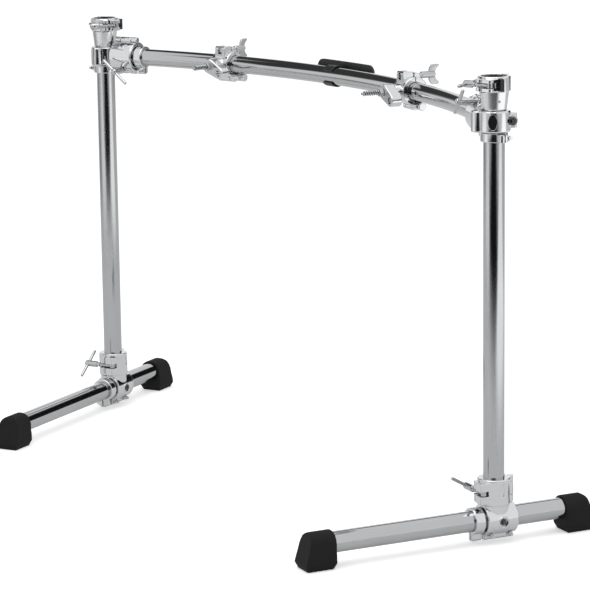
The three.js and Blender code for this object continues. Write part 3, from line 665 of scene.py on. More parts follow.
def finish_shape(mesh, angle):
    """Smooth shading with sharp corners kept, and no stray slivers."""
    bm = bmesh.new()
    bm.from_mesh(mesh)
    bmesh.ops.remove_doubles(bm, verts=bm.verts, dist=SLIVER)
    bmesh.ops.dissolve_degenerate(bm, edges=bm.edges, dist=SLIVER)
    bm.to_mesh(mesh)
    bm.free()
    mesh.shade_smooth()
    mesh.set_sharp_from_angle(angle=math.radians(angle))


# Where the rack stands in the exported frame
left_low, left_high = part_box("left_post_tube")
right_low, right_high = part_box("right_post_tube")
RACK_X = (left_low.x + left_high.x + right_low.x + right_high.x) / 4
RACK_Y = (left_low.y + left_high.y) / 2
RACK = Matrix.Translation((RACK_X, RACK_Y, 0)) @ Matrix.Scale(MM, 4)


def piece(name, mesh, matrix, body, slot, replaced=(), finish=None, angle=SHARP_ANGLE):
    """A finished piece: placed, shaded, riding on its body."""
    shape = placed(mesh, matrix)
    finish_shape(shape, angle)
    shape.transform(RACK)
    shape.name = name
    made = bpy.data.objects.new(name, shape)
    bpy.context.scene.collection.objects.link(made)
    shape.materials.clear()
    shape.materials.append(finish or SLOT_OF[slot])
    even = made.modifiers.new("even_normals", "WEIGHTED_NORMAL")
    even.keep_sharp = True
    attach(made, body)
    if replaced:
        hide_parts(*replaced)


# Slot of a piece by the way it is made
MADE_SLOT = {
    "casting": "cast_chrome",
    "forging": "bolt_chrome",
    "steel": "tube_chrome",
    "moulding": "black_plastic",
}


def dressed(node_name, way, mesh, matrix, body, slot=None, angle=SHARP_ANGLE):
    """The finished form of one CAD node, named for the way it is made."""
    piece(f"{node_name}_{way}", mesh, matrix, body, slot or MADE_SLOT[way], (node_name,), None, angle)


# Small parts


def key_bolt(x, z, tail, seat):
    """Square headed key bolt along +Y with a flange and a shank end rounded at its rim."""
    head_end = seat + KEY_HEAD_LENGTH
    shank = rod((x, tail, z), (x, seat + SEAT, z), KEY_RADIUS, KEEN_EDGE, SMALL)
    flange = rod((x, seat, z), (x, seat + KEY_FLANGE, z), KEY_HEAD_RADIUS, KEEN_EDGE, SMALL)
    head = rod((x, seat + KEY_SINK, z), (x, head_end, z), KEY_HEAD_RADIUS - KEY_HEAD_STEP, FINE_EDGE, SMALL)
    square = box(
        x - KEY_SQUARE,
        x + KEY_SQUARE,
        z - KEY_SQUARE,
        z + KEY_SQUARE,
        head_end - SEAT,
        head_end + KEY_SQUARE_LENGTH,
        SQUARE_EDGE,
    )
    upright = Matrix(((1, 0, 0, 0), (0, 0, 1, 0), (0, 1, 0, 0), (0, 0, 0, 1)))
    return join(shank, flange, head, placed(square, upright))


def last_face(bm, spun):
    """Closes the end of a spun form."""
    bm.faces.new([v for v in spun["geom_last"] if isinstance(v, bmesh.types.BMVert)])


def thread(radius, start, end, pitch, depth):
    """Helical ridge about Z between two heights."""
    bm = bmesh.new()
    flank = THREAD_FLANK * pitch
    profile = [
        bm.verts.new((radius - THREAD_ROOT, 0, start)),
        bm.verts.new((radius + depth, 0, start + flank)),
        bm.verts.new((radius - THREAD_ROOT, 0, start + 2 * flank)),
    ]
    edges = [bm.edges.new((profile[i], profile[(i + 1) % 3])) for i in range(3)]
    cap = bm.faces.new(profile)
    turns = (end - start) / pitch - 1
    spun = bmesh.ops.spin(
        bm,
        geom=profile + edges,
        cent=(0, 0, 0),
        axis=(0, 0, 1),
        dvec=(0, 0, pitch / THREAD_STEPS),
        angle=math.tau * turns,
        steps=int(THREAD_STEPS * turns),
    )
    last_face(bm, spun)
    cap.normal_flip()
    return mesh_from(bm)


def coil(radius, wire, start, end, turns):
    """Spring about Z with closed round wire."""
    bm = bmesh.new()
    ring = bmesh.ops.create_circle(bm, cap_ends=False, segments=COIL_SIDES, radius=wire)["verts"]
    bmesh.ops.rotate(bm, verts=ring, cent=(0, 0, 0), matrix=Matrix.Rotation(math.pi / 2, 3, "X"))
    bmesh.ops.translate(bm, verts=ring, vec=(radius, 0, start))
    first = bm.faces.new(ring)
    count = int(COIL_STEPS * turns)
    spun = bmesh.ops.spin(
        bm,
        geom=list(first.edges) + ring,
        cent=(0, 0, 0),
        axis=(0, 0, 1),
        dvec=(0, 0, (end - start) / count),
        angle=math.tau * turns,
        steps=count,
    )
    last_face(bm, spun)
    return mesh_from(bm)


class CollarKit:
    """Hinged collar: tube along Z, ears at +X, hinge at -X, gate on the +Y half."""

    def __init__(self, place, tube_radius, radius, height, ears, bore_gap=SEAT):
        half = height / 2
        ear = ears / 2
        knuckle = half / 2
        face = SPLIT / 2
        relief = BARREL + RUN
        pin_half = ear - CAST_EDGE
        bolt = tube_radius + BOLT_STANDOFF
        hinge = radius + HINGE_STANDOFF
        slot = box(bolt - SLOT_BACK, bolt + OVERRUN, -OVERRUN, OVERRUN, -SLOT_HALF, SLOT_HALF)
        body_ear = tongue(0, bolt + BODY_EAR_EDGE, -BODY_EAR_DEPTH, -face, -ear, ear)
        gate_ear = tongue(0, bolt + EAR_EDGE, face, GATE_EAR_DEPTH, -ear, ear)

        def hinge_rod(low, high, rod_radius, edge=0, segments=FINE):
            return rod((-hinge, 0, low), (-hinge, 0, high), rod_radius, edge, segments)

        self.place = place
        self.bolt = bolt
        self.outer = join(drum(radius, -half, half), body_ear)
        self.cuts = [
            box(-hinge - OVERRUN, bolt + OVERRUN, -face, OVERRUN, -half - 1, half + 1),
            slot,
            hinge_rod(-knuckle - SEAT, knuckle + SEAT, relief),
        ]
        self.pins = [
            rod((bolt, -PIVOT_DEPTH, -pin_half), (bolt, -PIVOT_DEPTH, pin_half), PIN, 0, SMALL),
            hinge_rod(-half, half, PIN, PIN_EDGE, SMALL),
            hinge_rod(-half, -knuckle - SEAT, BARREL, FINE_EDGE),
            hinge_rod(knuckle + SEAT, half, BARREL, FINE_EDGE),
        ]
        gate_half = half - RUN / 2
        self.gate = carve(
            join(drum(radius, -gate_half, gate_half), gate_ear),
            ("INTERSECT", box(-hinge - OVERRUN, bolt + OVERRUN, face, OVERRUN, -half, half)),
            ("DIFFERENCE", slot.copy()),
            ("DIFFERENCE", hinge_rod(-half - OVERRUN, SEAT - knuckle, relief)),
            ("DIFFERENCE", hinge_rod(knuckle - SEAT, half + OVERRUN, relief)),
            ("UNION", hinge_rod(SEAT - knuckle, knuckle - SEAT, BARREL, FINE_EDGE)),
            ("DIFFERENCE", hinge_rod(-OVERRUN, OVERRUN, PIN + SEAT, 0, SMALL)),
            ("DIFFERENCE", bore(half + OVERRUN, tube_radius + bore_gap)),
        )
        self.handle_start = PIVOT_DEPTH + GATE_EAR_DEPTH + NOSE_OFF
        self.handle_end = self.handle_start + NOSE_LENGTH + BOSS[place]
        self.tip = self.handle_end - ROD_FROM_END - ROD_RADIUS - SEAT
        self.swing_bolt = cut(
            join(
                rod((0, 0, -EYE_HALF), (0, 0, EYE_HALF), EYE_RADIUS, EYE_EDGE),
                rod((0, EYE_RADIUS / 2, 0), (0, self.tip - SEAT, 0), SHANK_RADIUS, KEEN_EDGE),
            ),
            rod((0, 0, -OVERRUN), (0, 0, OVERRUN), PIN + SEAT, 0, SMALL),
        )

    def casting(self, spot, before, after):
        """Body half of the clamp. The steps come before and after the collar's own cuts."""
        own_cuts = taking(*(placed(c, spot) for c in self.cuts))
        pins = adding(*(placed(p, spot) for p in self.pins))
        return carve(placed(self.outer, spot), *before, *own_cuts, *after, *pins)

    def handle_boss(self):
        """Domed nut with a narrow nose, along +Y from the bolt's pivot."""
        start, end = self.handle_start, self.handle_end
        shoulder = start + NOSE_LENGTH
        crown = [
            (BOSS_RADIUS * math.cos(a), end - DOME_RISE + DOME_RISE * math.sin(a))
            for a in map(math.radians, range(0, 90, DOME_STEP))
        ]
        profile = [
            (0, start),
            (NOSE_RADIUS - KEEN_EDGE, start),
            (NOSE_RADIUS, start + KEEN_EDGE),
            (NOSE_RADIUS, shoulder - FINE_EDGE),
            (BOSS_RADIUS - BOSS_SHOULDER, shoulder),
            (BOSS_RADIUS, shoulder + BOSS_SHOULDER),
            *crown,
            (0, end),
        ]
        return placed(turned(profile, FINE), Matrix.Rotation(-math.pi / 2, 4, "X"))

    def thread_cut(self):
        start = self.handle_start - OVERRUN
        return rod((0, start, 0), (0, self.tip, 0), BOLT_RADIUS + SEAT, 0, SMALL)

    def t_handle(self, rod_length):
        middle = self.handle_end - ROD_FROM_END
        half = rod_length / 2
        cross = rod((0, middle, -half), (0, middle, half), ROD_RADIUS, ROD_ROUND, SMALL)
        return carve(self.handle_boss(), ("UNION", cross), ("DIFFERENCE", self.thread_cut()))

    def wing_nut(self):
        end = self.handle_end
        base = end - BOSS[self.place] / 2
        root = BOSS_RADIUS / 2
        tip = WING_SPAN / 2
        outline = [
            (0, base),
            (root, base),
            (tip * 0.62, base + WING_RISE * 0.25),
            (tip * 0.9, base + WING_RISE * 0.72),
            (tip, base + WING_RISE),
            (tip, end + WING_RISE - 3),
            (tip * 0.97, end + WING_RISE - 1),
            (tip * 0.88, end + WING_RISE),
            (tip * 0.78, end + WING_RISE - 0.6),
            (tip * 0.55, end + WING_RISE * 0.3),
            (root, end - 1),
            (0, end - 2),
        ]
        blade = prism(outline, -WING_THICKNESS / 2, WING_THICKNESS / 2, WING_EDGE)
        other = placed(blade, Matrix.Rotation(math.pi, 4, "Y"))
        return carve(self.handle_boss(), *adding(blade, other), ("DIFFERENCE", self.thread_cut()))

    def add_latch(self, matrix, side, rod_length=0):
        """Gate, swing bolt and handle in a clamp's frame. Without a rod the handle is a wing nut."""
        stem = f"{side}_{self.place}"
        gate = f"{stem}_gate"
        dressed(gate, "casting", self.gate, matrix, gate)
        bolt = f"{stem}_swing_bolt"
        pivot = matrix @ Matrix.Translation((self.bolt, -PIVOT_DEPTH, 0))
        dressed(bolt, "forging", self.swing_bolt, pivot, bolt)
        lying = Matrix.Rotation(-math.pi / 2, 4, "X")
        thread_end = self.handle_start + NOSE_LENGTH
        screw = thread(SHANK_RADIUS, GATE_EAR_DEPTH, thread_end, THREAD_PITCH, THREAD_DEPTH)
        piece(f"{bolt}_thread", screw, pivot @ lying, bolt, "bolt_chrome")
        grip = f"{stem}_{'t_handle' if rod_length else 'wing_nut'}"
        form = self.t_handle(rod_length) if rod_length else self.wing_nut()
        spin = Matrix.Rotation(math.radians(HANDLE_SPIN[stem]), 4, "Y")
        dressed(grip, "forging", form, pivot @ spin, grip)


def memory_lock(tube_radius, width):
    """Split ring with a key bolt through its ears, about Z."""
    hole = tube_radius + SEAT
    radius = hole + LOCK_WALL
    face = LOCK_SLIT / 2
    ear_face = face + LOCK_EAR_THICKNESS
    edge = CAST_EDGE / 2
    ear = tongue(0, radius + LOCK_EAR, -ear_face, ear_face, edge, width - edge)
    return carve(
        drum(radius, 0, width, LOCK_EDGE),
        ("UNION", ear),
        ("DIFFERENCE", bore(OVERRUN, hole)),
        ("DIFFERENCE", box(0, OVERRUN, -face, face, -OVERRUN, OVERRUN)),
        ("UNION", key_bolt(radius + LOCK_EAR / 2, width / 2, -face - LOCK_EAR_THICKNESS / 2, ear_face)),
    )


def straight_tube(length):
    """Drawn tube about Z with a softened mouth."""
    return cut(
        drum(POST_RADIUS, 0, length, KEEN_EDGE, TUBE_SIDES),
        rod((0, 0, -OVERRUN), (0, 0, length + OVERRUN), POST_RADIUS - WALL, 0, TUBE_SIDES),
    )


FRONT = Vector((0, -1, 0))
BACK = Vector((0, 1, 0))
RIGHT = Vector((1, 0, 0))
LEFT = Vector((-1, 0, 0))
UP = Vector((0, 0, 1))
DOWN = Vector((0, 0, -1))

ARC_HALF_CHORD = POST_SPACING / 2 - BAR_STRAIGHT_END * math.cos(BAR_END_TURN)
ARC_RADIUS = ARC_HALF_CHORD / math.sin(BAR_END_TURN)
ARC_Y = BAR_STRAIGHT_END * math.sin(BAR_END_TURN) - ARC_RADIUS * math.cos(BAR_END_TURN)


def curved_bar():
    """Bent tube: straight end, long arc, straight end."""
    bm = bmesh.new()
    ring = bmesh.ops.create_circle(bm, cap_ends=False, segments=ROUND, radius=BAR_RADIUS)["verts"]
    bmesh.ops.rotate(bm, verts=ring, cent=(0, 0, 0), matrix=Matrix.Rotation(math.pi / 2, 3, "Y"))
    bmesh.ops.translate(bm, verts=ring, vec=(0, ARC_RADIUS, 0))
    bmesh.ops.rotate(bm, verts=ring, cent=(0, 0, 0), matrix=Matrix.Rotation(BAR_END_TURN, 3, "Z"))
    left_rim = list(bm.edges)
    spun = bmesh.ops.spin(
        bm,
        geom=ring + left_rim,
        cent=(0, 0, 0),
        axis=(0, 0, -1),
        angle=2 * BAR_END_TURN,
        steps=BAR_STEPS,
    )
    right_rim = [e for e in spun["geom_last"] if isinstance(e, bmesh.types.BMEdge)]
    straight = BAR_STRAIGHT_END - BAR_END_INSET
    for rim, sign in ((left_rim, -1), (right_rim, 1)):
        grown = bmesh.ops.extrude_edge_only(bm, edges=rim)
        tips = [v for v in grown["geom"] if isinstance(v, bmesh.types.BMVert)]
        outward = Vector((sign * math.cos(BAR_END_TURN), -math.sin(BAR_END_TURN), 0))
        bmesh.ops.translate(bm, verts=tips, vec=outward * straight)
    bmesh.ops.translate(bm, verts=bm.verts, vec=(0, ARC_Y, BAR_HEIGHT))
    bmesh.ops.recalc_face_normals(bm, faces=bm.faces)
    bmesh.ops.solidify(bm, geom=list(bm.faces), thickness=WALL)
    return mesh_from(bm)


def rubber_foot():
    """Moulded boot: arch over the tube, splayed flanks, chamfered sole with treads."""
    crown = POST_RADIUS + FOOT_WALL
    flank = crown + FOOT_FLARE
    knee = -LEG_HEIGHT + FOOT_KNEE
    section = [
        (-crown, 0),
        (-flank, knee),
        (FOOT_INSET - flank, -LEG_HEIGHT),
        (flank - FOOT_INSET, -LEG_HEIGHT),
        (flank, knee),
        *arc(0, 0, crown, 0, 180, 36)[:-1],
    ]
    end = FOOT_LENGTH - FOOT_SLOPE
    side = [
        *arc(FOOT_LIP, crown - FOOT_LIP, FOOT_LIP, 180, 90, 6),
        *arc(end - FOOT_NOSE, crown - FOOT_NOSE, FOOT_NOSE, 90, 0, 12),
        (FOOT_LENGTH, knee),
        (FOOT_LENGTH - FOOT_INSET, -LEG_HEIGHT),
        (FOOT_INSET, -LEG_HEIGHT),
        (0, knee),
    ]
    across = placed(prism(section, 0, FOOT_LENGTH), axes(LEFT, UP, BACK))
    along = placed(prism(side[::-1], -flank - 1, flank + 1), axes(BACK, UP, RIGHT))
    boot = melted(carve(across, ("INTERSECT", along)), FOOT_VOXEL, FOOT_SMOOTHING)
    pitch = (FOOT_LENGTH - FOOT_INSET * 2) / TREADS
    depth = -LEG_HEIGHT - TREAD_RADIUS + TREAD_DEPTH
    spots = [FOOT_INSET + pitch * i for i in range(1, TREADS)]
    grooves = [rod((-OVERRUN, y, depth), (OVERRUN, y, depth), TREAD_RADIUS, 0, SMALL) for y in spots]
    socket = rod((0, -OVERRUN, 0), (0, FOOT_LENGTH - FOOT_END_WALL, 0), POST_RADIUS + SEAT, 0, ROUND)
    return cut(boot, *grooves, socket)


def melted(mesh, voxel, passes):
    """Moulded look: one skin of even faces with every edge rounded."""
    work = bpy.data.objects.new("work", mesh)
    bpy.context.scene.collection.objects.link(work)
    skin = work.modifiers.new("skin", "REMESH")
    skin.mode = "VOXEL"
    skin.voxel_size = voxel
    round_off = work.modifiers.new("round", "SMOOTH")
    round_off.factor = 0.5
    round_off.iterations = passes
    bpy.context.view_layer.update()
    seen = work.evaluated_get(bpy.context.evaluated_depsgraph_get())
    result = bpy.data.meshes.new_from_object(seen)
    bpy.data.objects.remove(work)
    return result


# Clamps


def add_leg(side, sign):
    """T leg clamp, leg jaw, leg tube, feet and memory lock."""
    clamp_body, leg_body = f"{side}_leg_clamp", f"{side}_leg"
    here = Matrix.Translation((sign * POST_SPACING / 2, 0, LEG_HEIGHT)) @ turn_z(-LEG_YAW[side])
    middle = LEG_COLLAR_BOTTOM + LEG_COLLAR_HEIGHT / 2
    kit = CollarKit("leg_clamp", POST_RADIUS, LEG_COLLAR_RADIUS, LEG_COLLAR_HEIGHT, LEG_COLLAR_EARS)
    collar = axes(FRONT, LEFT, DOWN, (0, 0, middle))
    face = SPLIT / 2
    saddle = placed(drum(SADDLE_RADIUS, -SADDLE_FRONT, SADDLE_BACK), Matrix.Rotation(-math.pi / 2, 4, "X"))
    flange_ends = FLANGE_INSET - SADDLE_BACK, SADDLE_FRONT - FLANGE_INSET
    flange = tongue(0, FLANGE_DEPTH, -FLANGE_THICKNESS, FLANGE_THICKNESS, *flange_ends)
    flanges = placed(flange, axes(DOWN, LEFT, FRONT))
    neck = turned(
        [
            (0, 0),
            (NECK_RADIUS - CAST_EDGE, 0),
            (NECK_RADIUS, LEG_COLLAR_BOTTOM / 2),
            (NECK_RADIUS, LEG_COLLAR_BOTTOM + CAST_EDGE),
            (0, LEG_COLLAR_BOTTOM + CAST_EDGE),
        ]
    )
    bolt_y, bolt_z = SADDLE_BOLT

    def saddle_rod(back, front, radius, edge):
        start = (SADDLE_RADIUS + back, bolt_y, bolt_z)
        return rod(start, (SADDLE_RADIUS + front, bolt_y, bolt_z), radius, edge)

    rim = saddle_rod(-SADDLE_RIM_DEPTH, SADDLE_RIM_RISE, SADDLE_BOLT_RIM, FINE_EDGE)
    well = saddle_rod(-SADDLE_WELL_DEPTH, OVERRUN, SADDLE_BOLT_WELL, 0)
    squash = Matrix.Scale(COLLAR_OVAL_SQUASH, 4, (1, 0, 0))
    panel = axes(BACK, UP, RIGHT, (LEG_COLLAR_RADIUS, 0, middle + COLLAR_OVAL_RISE)) @ squash
    oval = placed(drum(COLLAR_OVAL_HALF, -RECESS_DEPTH, OVERRUN, 0), panel)
    post_bore = rod((0, 0, POST_RISE - SEAT), (0, 0, OVERRUN * 3), POST_RADIUS + SEAT, 0, ROUND)
    leg_bore = rod((0, -OVERRUN * 2, 0), (0, OVERRUN * 2, 0), POST_RADIUS + SEAT, 0, ROUND)
    jaw_space = box(-SADDLE_RADIUS - OVERRUN, face, -OVERRUN, OVERRUN, -OVERRUN, JAW_TOP + face)
    bolt_holes = []
    for along in JAW_BOLTS:
        outside = (OVERRUN, along, -JAW_BOLT_DROP)
        seat = (FLANGE_THICKNESS, along, -JAW_BOLT_DROP)
        bolt_holes.append(rod((-OVERRUN, along, -JAW_BOLT_DROP), outside, KEY_RADIUS + SEAT, 0, SMALL))
        bolt_holes.append(rod(seat, outside, KEY_HEAD_RADIUS + RUN))
    before = adding(neck, saddle, flanges, rim) + taking(well, oval)
    after = taking(post_bore, leg_bore, jaw_space, *bolt_holes)
    dressed(f"{side}_leg_clamp_body", "casting", kit.casting(collar, before, after), here, clamp_body)

    head = saddle_rod(-SADDLE_HEAD_BACK, -SADDLE_HEAD_FRONT, SADDLE_BOLT_WELL - SADDLE_HEAD_GAP, FINE_EDGE)
    drive = box(
        SADDLE_RADIUS - SADDLE_DRIVE_BACK,
        SADDLE_RADIUS + SADDLE_DRIVE_RISE,
        bolt_y - KEY_SQUARE,
        bolt_y + KEY_SQUARE,
        bolt_z - KEY_SQUARE,
        bolt_z + KEY_SQUARE,
        SQUARE_EDGE,
    )
    piece(f"{side}_leg_saddle_bolt", join(head, drive), here, clamp_body, "bolt_chrome", (), DARK_STEEL)

    keep = box(-SADDLE_RADIUS - OVERRUN, -face, -OVERRUN, OVERRUN, -OVERRUN, JAW_TOP)
    jaw_steps = [("UNION", flanges.copy()), ("INTERSECT", keep), ("DIFFERENCE", leg_bore.copy())]
    for along in JAW_BOLTS:
        bolt = key_bolt(0, 0, FLANGE_THICKNESS / 2 - FLANGE_THICKNESS, FLANGE_THICKNESS + SEAT)
        jaw_steps += adding(placed(bolt, axes(BACK, RIGHT, DOWN, (0, along, -JAW_BOLT_DROP))))
    dressed(f"{side}_leg_jaw", "casting", carve(saddle.copy(), *jaw_steps), here, clamp_body)
    kit.add_latch(here @ collar, side, ROD_LENGTH)

    lying = here @ axes(RIGHT, DOWN, BACK, (0, -LEG_FRONT[side], 0))
    dressed(f"{side}_leg_tube", "steel", straight_tube(LEG_FRONT[side] + LEG_BACK[side]), lying, leg_body)
    tube_cover = FOOT_LENGTH - FOOT_END_WALL - SEAT
    front_foot = Matrix.Translation((0, tube_cover - LEG_FRONT[side], 0)) @ turn_z(180)
    back_foot = Matrix.Translation((0, LEG_BACK[side] - tube_cover, 0))
    for which, spot in (("front", front_foot), ("back", back_foot)):
        node_name = f"{side}_{which}_foot"
        dressed(node_name, "moulding", FOOT, here @ spot, leg_body, "black_rubber", FOOT_ANGLE)

    lock = memory_lock(POST_RADIUS, LEG_LOCK_WIDTH)
    start = -SADDLE_FRONT - LOCK_SPACE - LEG_LOCK_WIDTH
    lock_spot = here @ axes(DOWN, LEFT, BACK, (0, start, 0))
    dressed(f"{side}_leg_memory_lock", "casting", lock, lock_spot, clamp_body)


def add_post(side, sign):
    """Post tube with the top tube holder and its liner."""
    body = f"{side}_post"
    here = Matrix.Translation((sign * POST_SPACING / 2, 0, 0))
    bottom = LEG_HEIGHT + POST_RISE
    top = bottom + POST_LENGTH
    up = here @ Matrix.Translation((0, 0, bottom))
    dressed(f"{side}_post_tube", "steel", straight_tube(POST_LENGTH), up, body)

    cup_bottom = BAR_HEIGHT + POST_SADDLE_HEIGHT / 2 + RUN
    collar_bottom = cup_bottom + CUP_HEIGHT
    liner_radius = POST_RADIUS + SEAT + LINER_WALL
    kit = CollarKit("top_holder", liner_radius, HOLDER_RADIUS, HOLDER_HEIGHT, HOLDER_EARS, LINER_GAP)
    turn = math.radians(HOLDER_TURN[side])
    outward = Vector((math.sin(turn), math.cos(turn), 0))
    sideways = Vector((outward.y, -outward.x, 0))
    spot = axes(outward, sideways, DOWN, (0, 0, collar_bottom + HOLDER_HEIGHT / 2))
    cup = turned(
        [
            (0, cup_bottom),
            (CUP_BOTTOM_RADIUS - CAST_EDGE / 2, cup_bottom),
            (CUP_BOTTOM_RADIUS - CUP_ROUND, cup_bottom + CUP_ROUND_HEIGHT),
            (CUP_BOTTOM_RADIUS, cup_bottom + CAST_EDGE),
            (CUP_TOP_RADIUS, collar_bottom),
            (CUP_TOP_RADIUS, collar_bottom + CAST_EDGE),
            (0, collar_bottom + CAST_EDGE),
        ]
    )
    key_turn = turn_z(LINER_KEY_TURN)
    window_half = LINER_KEY_HALF + SEAT
    window_reach = HOLDER_HEIGHT / 2 - LINER_KEY_BRIDGE
    window = placed(box(0, OVERRUN, -window_half, window_half, -window_reach, window_reach), key_turn)
    wide = rod((0, 0, collar_bottom), (0, 0, top + OVERRUN), liner_radius + LINER_GAP, 0, ROUND)
    narrow = rod((0, 0, 0), (0, 0, top + OVERRUN), POST_RADIUS + SEAT, 0, ROUND)
    before = taking(placed(window, spot)) + adding(cup)
    casting = kit.casting(spot, before, taking(wide, narrow))
    dressed(f"{side}_top_holder_body", "casting", casting, here, body)
    rivet_ends = (0, CUP_BOTTOM_RADIUS - RIVET_INSET, 0), (0, CUP_TOP_RADIUS - RIVET_DEPTH, 0)
    rivet = rod(*rivet_ends, RIVET_RADIUS, RIVET_EDGE, SMALL)
    rivet_lift = Matrix.Translation((0, 0, cup_bottom + CUP_HEIGHT / 2))
    rivet_turn = rivet_lift @ turn_z(-HOLDER_TURN[side] - LINER_KEY_TURN)
    piece(f"{side}_top_holder_rivet", rivet, here @ rivet_turn, body, "bolt_chrome")
    kit.add_latch(here @ spot, side, HOLDER_ROD)

    half = LINER_HEIGHT / 2
    key_end = HOLDER_RADIUS + LINER_KEY_REACH
    key_reach = window_reach - SEAT
    key = box(0, key_end, -LINER_KEY_HALF, LINER_KEY_HALF, -key_reach, key_reach, LINER_KEY_EDGE)
    liner = carve(
        placed(drum(liner_radius, -half, half, LINER_EDGE), spot),
        ("UNION", placed(placed(key, key_turn), spot)),
        ("DIFFERENCE", rod((0, 0, 0), (0, 0, top + SEAT), POST_RADIUS + SEAT, 0, ROUND)),
        ("DIFFERENCE", rod((0, 0, 0), (0, 0, top + OVERRUN), POST_RADIUS - LINER_LIP, 0, ROUND)),
    )
    dressed(f"{side}_top_holder_liner", "moulding", liner, here, body)


def add_corner_clamp(side, sign):
    """Right angle clamp between post and bar: X runs inward along the bar, Y to the drummer."""
    body = "bar_assembly"
    cos, sin = math.cos(BAR_END_TURN), math.sin(BAR_END_TURN)
    inward = Vector((-sign * cos, sin, 0))
    to_drummer = Vector((-sign * sin, -cos, 0))
    over = inward.cross(to_drummer)
    here = axes(inward, to_drummer, over, (sign * POST_SPACING / 2, 0, BAR_HEIGHT))
    kit = CollarKit("corner_clamp", BAR_RADIUS, BAR_COLLAR_RADIUS, BAR_COLLAR_LENGTH, BAR_COLLAR_EARS)
    start = POST_SADDLE_RADIUS + RUN
    collar = axes(UP, BACK, LEFT, (start + BAR_COLLAR_LENGTH / 2, 0, 0))
    half = POST_SADDLE_HEIGHT / 2
    face = SPLIT / 2
    post_bore = bore(OVERRUN, POST_RADIUS + SEAT)
    bar_bore = rod((BAR_END_INSET - SEAT, 0, 0), (OVERRUN * 4, 0, 0), BAR_RADIUS + SEAT, 0, ROUND)
    ear_reach = POST_SADDLE_RADIUS + POST_EAR_REACH
    ear_half = POST_EAR_HEIGHT / 2
    ear = tongue(0, ear_reach, -POST_EAR_THICKNESS, POST_EAR_THICKNESS, -ear_half, ear_half)
    ears = placed(ear, turn_z(-90))
    saddle = drum(POST_SADDLE_RADIUS, -half, half, POST_SADDLE_EDGE)
    bulge = shifted(drum(BULGE_RADIUS, -half, half, POST_SADDLE_EDGE), 0, POST_SADDLE_RADIUS, 0)
    web = carve(
        rod((start - BACK_OVERLAP, 0, 0), (start + BACK_OVERLAP, 0, 0), half, 0, ROUND),
        ("INTERSECT", box(-OVERRUN, OVERRUN, -OVERRUN, -face, -OVERRUN, OVERRUN)),
    )
    bolt_y = -POST_RADIUS - POST_BOLT_STANDOFF

    def bolt_rod(low, high, radius, edge=0, segments=FINE):
        return rod((low, bolt_y, 0), (high, bolt_y, 0), radius, edge, segments)

    cap_side = box(-OVERRUN, face, -OVERRUN, OVERRUN, -OVERRUN, OVERRUN)
    bolt_hole = bolt_rod(-OVERRUN, OVERRUN, KEY_RADIUS + SEAT, 0, SMALL)
    after = adding(saddle, bulge, ears, web) + taking(cap_side, post_bore, bar_bore, bolt_hole)
    dressed(f"{side}_corner_clamp_body", "casting", kit.casting(collar, [], after), here, body)

    stretch = Matrix.Scale(RECESS_HALF_WIDTH / RECESS_HALF_HEIGHT, 4, (1, 0, 0))
    facing = axes(FRONT, UP, LEFT, (-POST_SADDLE_RADIUS, 0, 0))
    oval = placed(drum(RECESS_HALF_HEIGHT, -RECESS_DEPTH, OVERRUN, 0), turn_z(RECESS_TURN) @ facing @ stretch)
    boss_end = POST_EAR_THICKNESS + EAR_BOSS_RISE
    boss = bolt_rod(-POST_EAR_THICKNESS / 2, -boss_end, EAR_BOSS_RADIUS, FINE_EDGE)
    bolt = key_bolt(0, 0, POST_EAR_THICKNESS / 2 - POST_EAR_THICKNESS, POST_EAR_THICKNESS + SEAT)
    cap = carve(
        saddle.copy(),
        *adding(ears.copy(), bulge.copy()),
        ("DIFFERENCE", box(-face, OVERRUN, -OVERRUN, OVERRUN, -OVERRUN, OVERRUN)),
        *taking(post_bore.copy(), oval),
        *adding(boss, placed(bolt, axes(BACK, LEFT, UP, (0, bolt_y, 0)))),
    )
    dressed(f"{side}_corner_clamp_cap", "casting", cap, here, body)
    head_end = boss_end + EAR_BOLT_RISE
    drive = box(
        -head_end - KEY_SQUARE_LENGTH,
        -head_end + KEY_SINK,
        bolt_y - EAR_SQUARE,
        bolt_y + EAR_SQUARE,
        -EAR_SQUARE,
        EAR_SQUARE,
        EAR_SQUARE_EDGE,
    )
    head = join(bolt_rod(-POST_EAR_THICKNESS, -head_end, EAR_BOLT_RADIUS, EAR_BOLT_EDGE), drive)
    piece(f"{side}_corner_clamp_bolt_head", head, here, body, "bolt_chrome", (), DARK_STEEL)
    kit.add_latch(here @ collar, side, ROD_LENGTH)

    lock_end = start + BAR_COLLAR_LENGTH + LOCK_SPACE + BAR_LOCK_WIDTH
    spot = here @ axes(UP, BACK, LEFT, (lock_end, 0, 0))
    dressed(f"{side}_bar_memory_lock", "casting", memory_lock(BAR_RADIUS, BAR_LOCK_WIDTH), spot, body)
    height = BAR_HEIGHT - half - POST_LOCK_SPACE - POST_LOCK_WIDTH
    spot = Matrix.Translation((sign * POST_SPACING / 2, 0, height)) @ turn_z(90 - POST_LOCK_TURN[side])
    dressed(f"{side}_post_memory_lock", "casting", memory_lock(POST_RADIUS, POST_LOCK_WIDTH), spot, body)


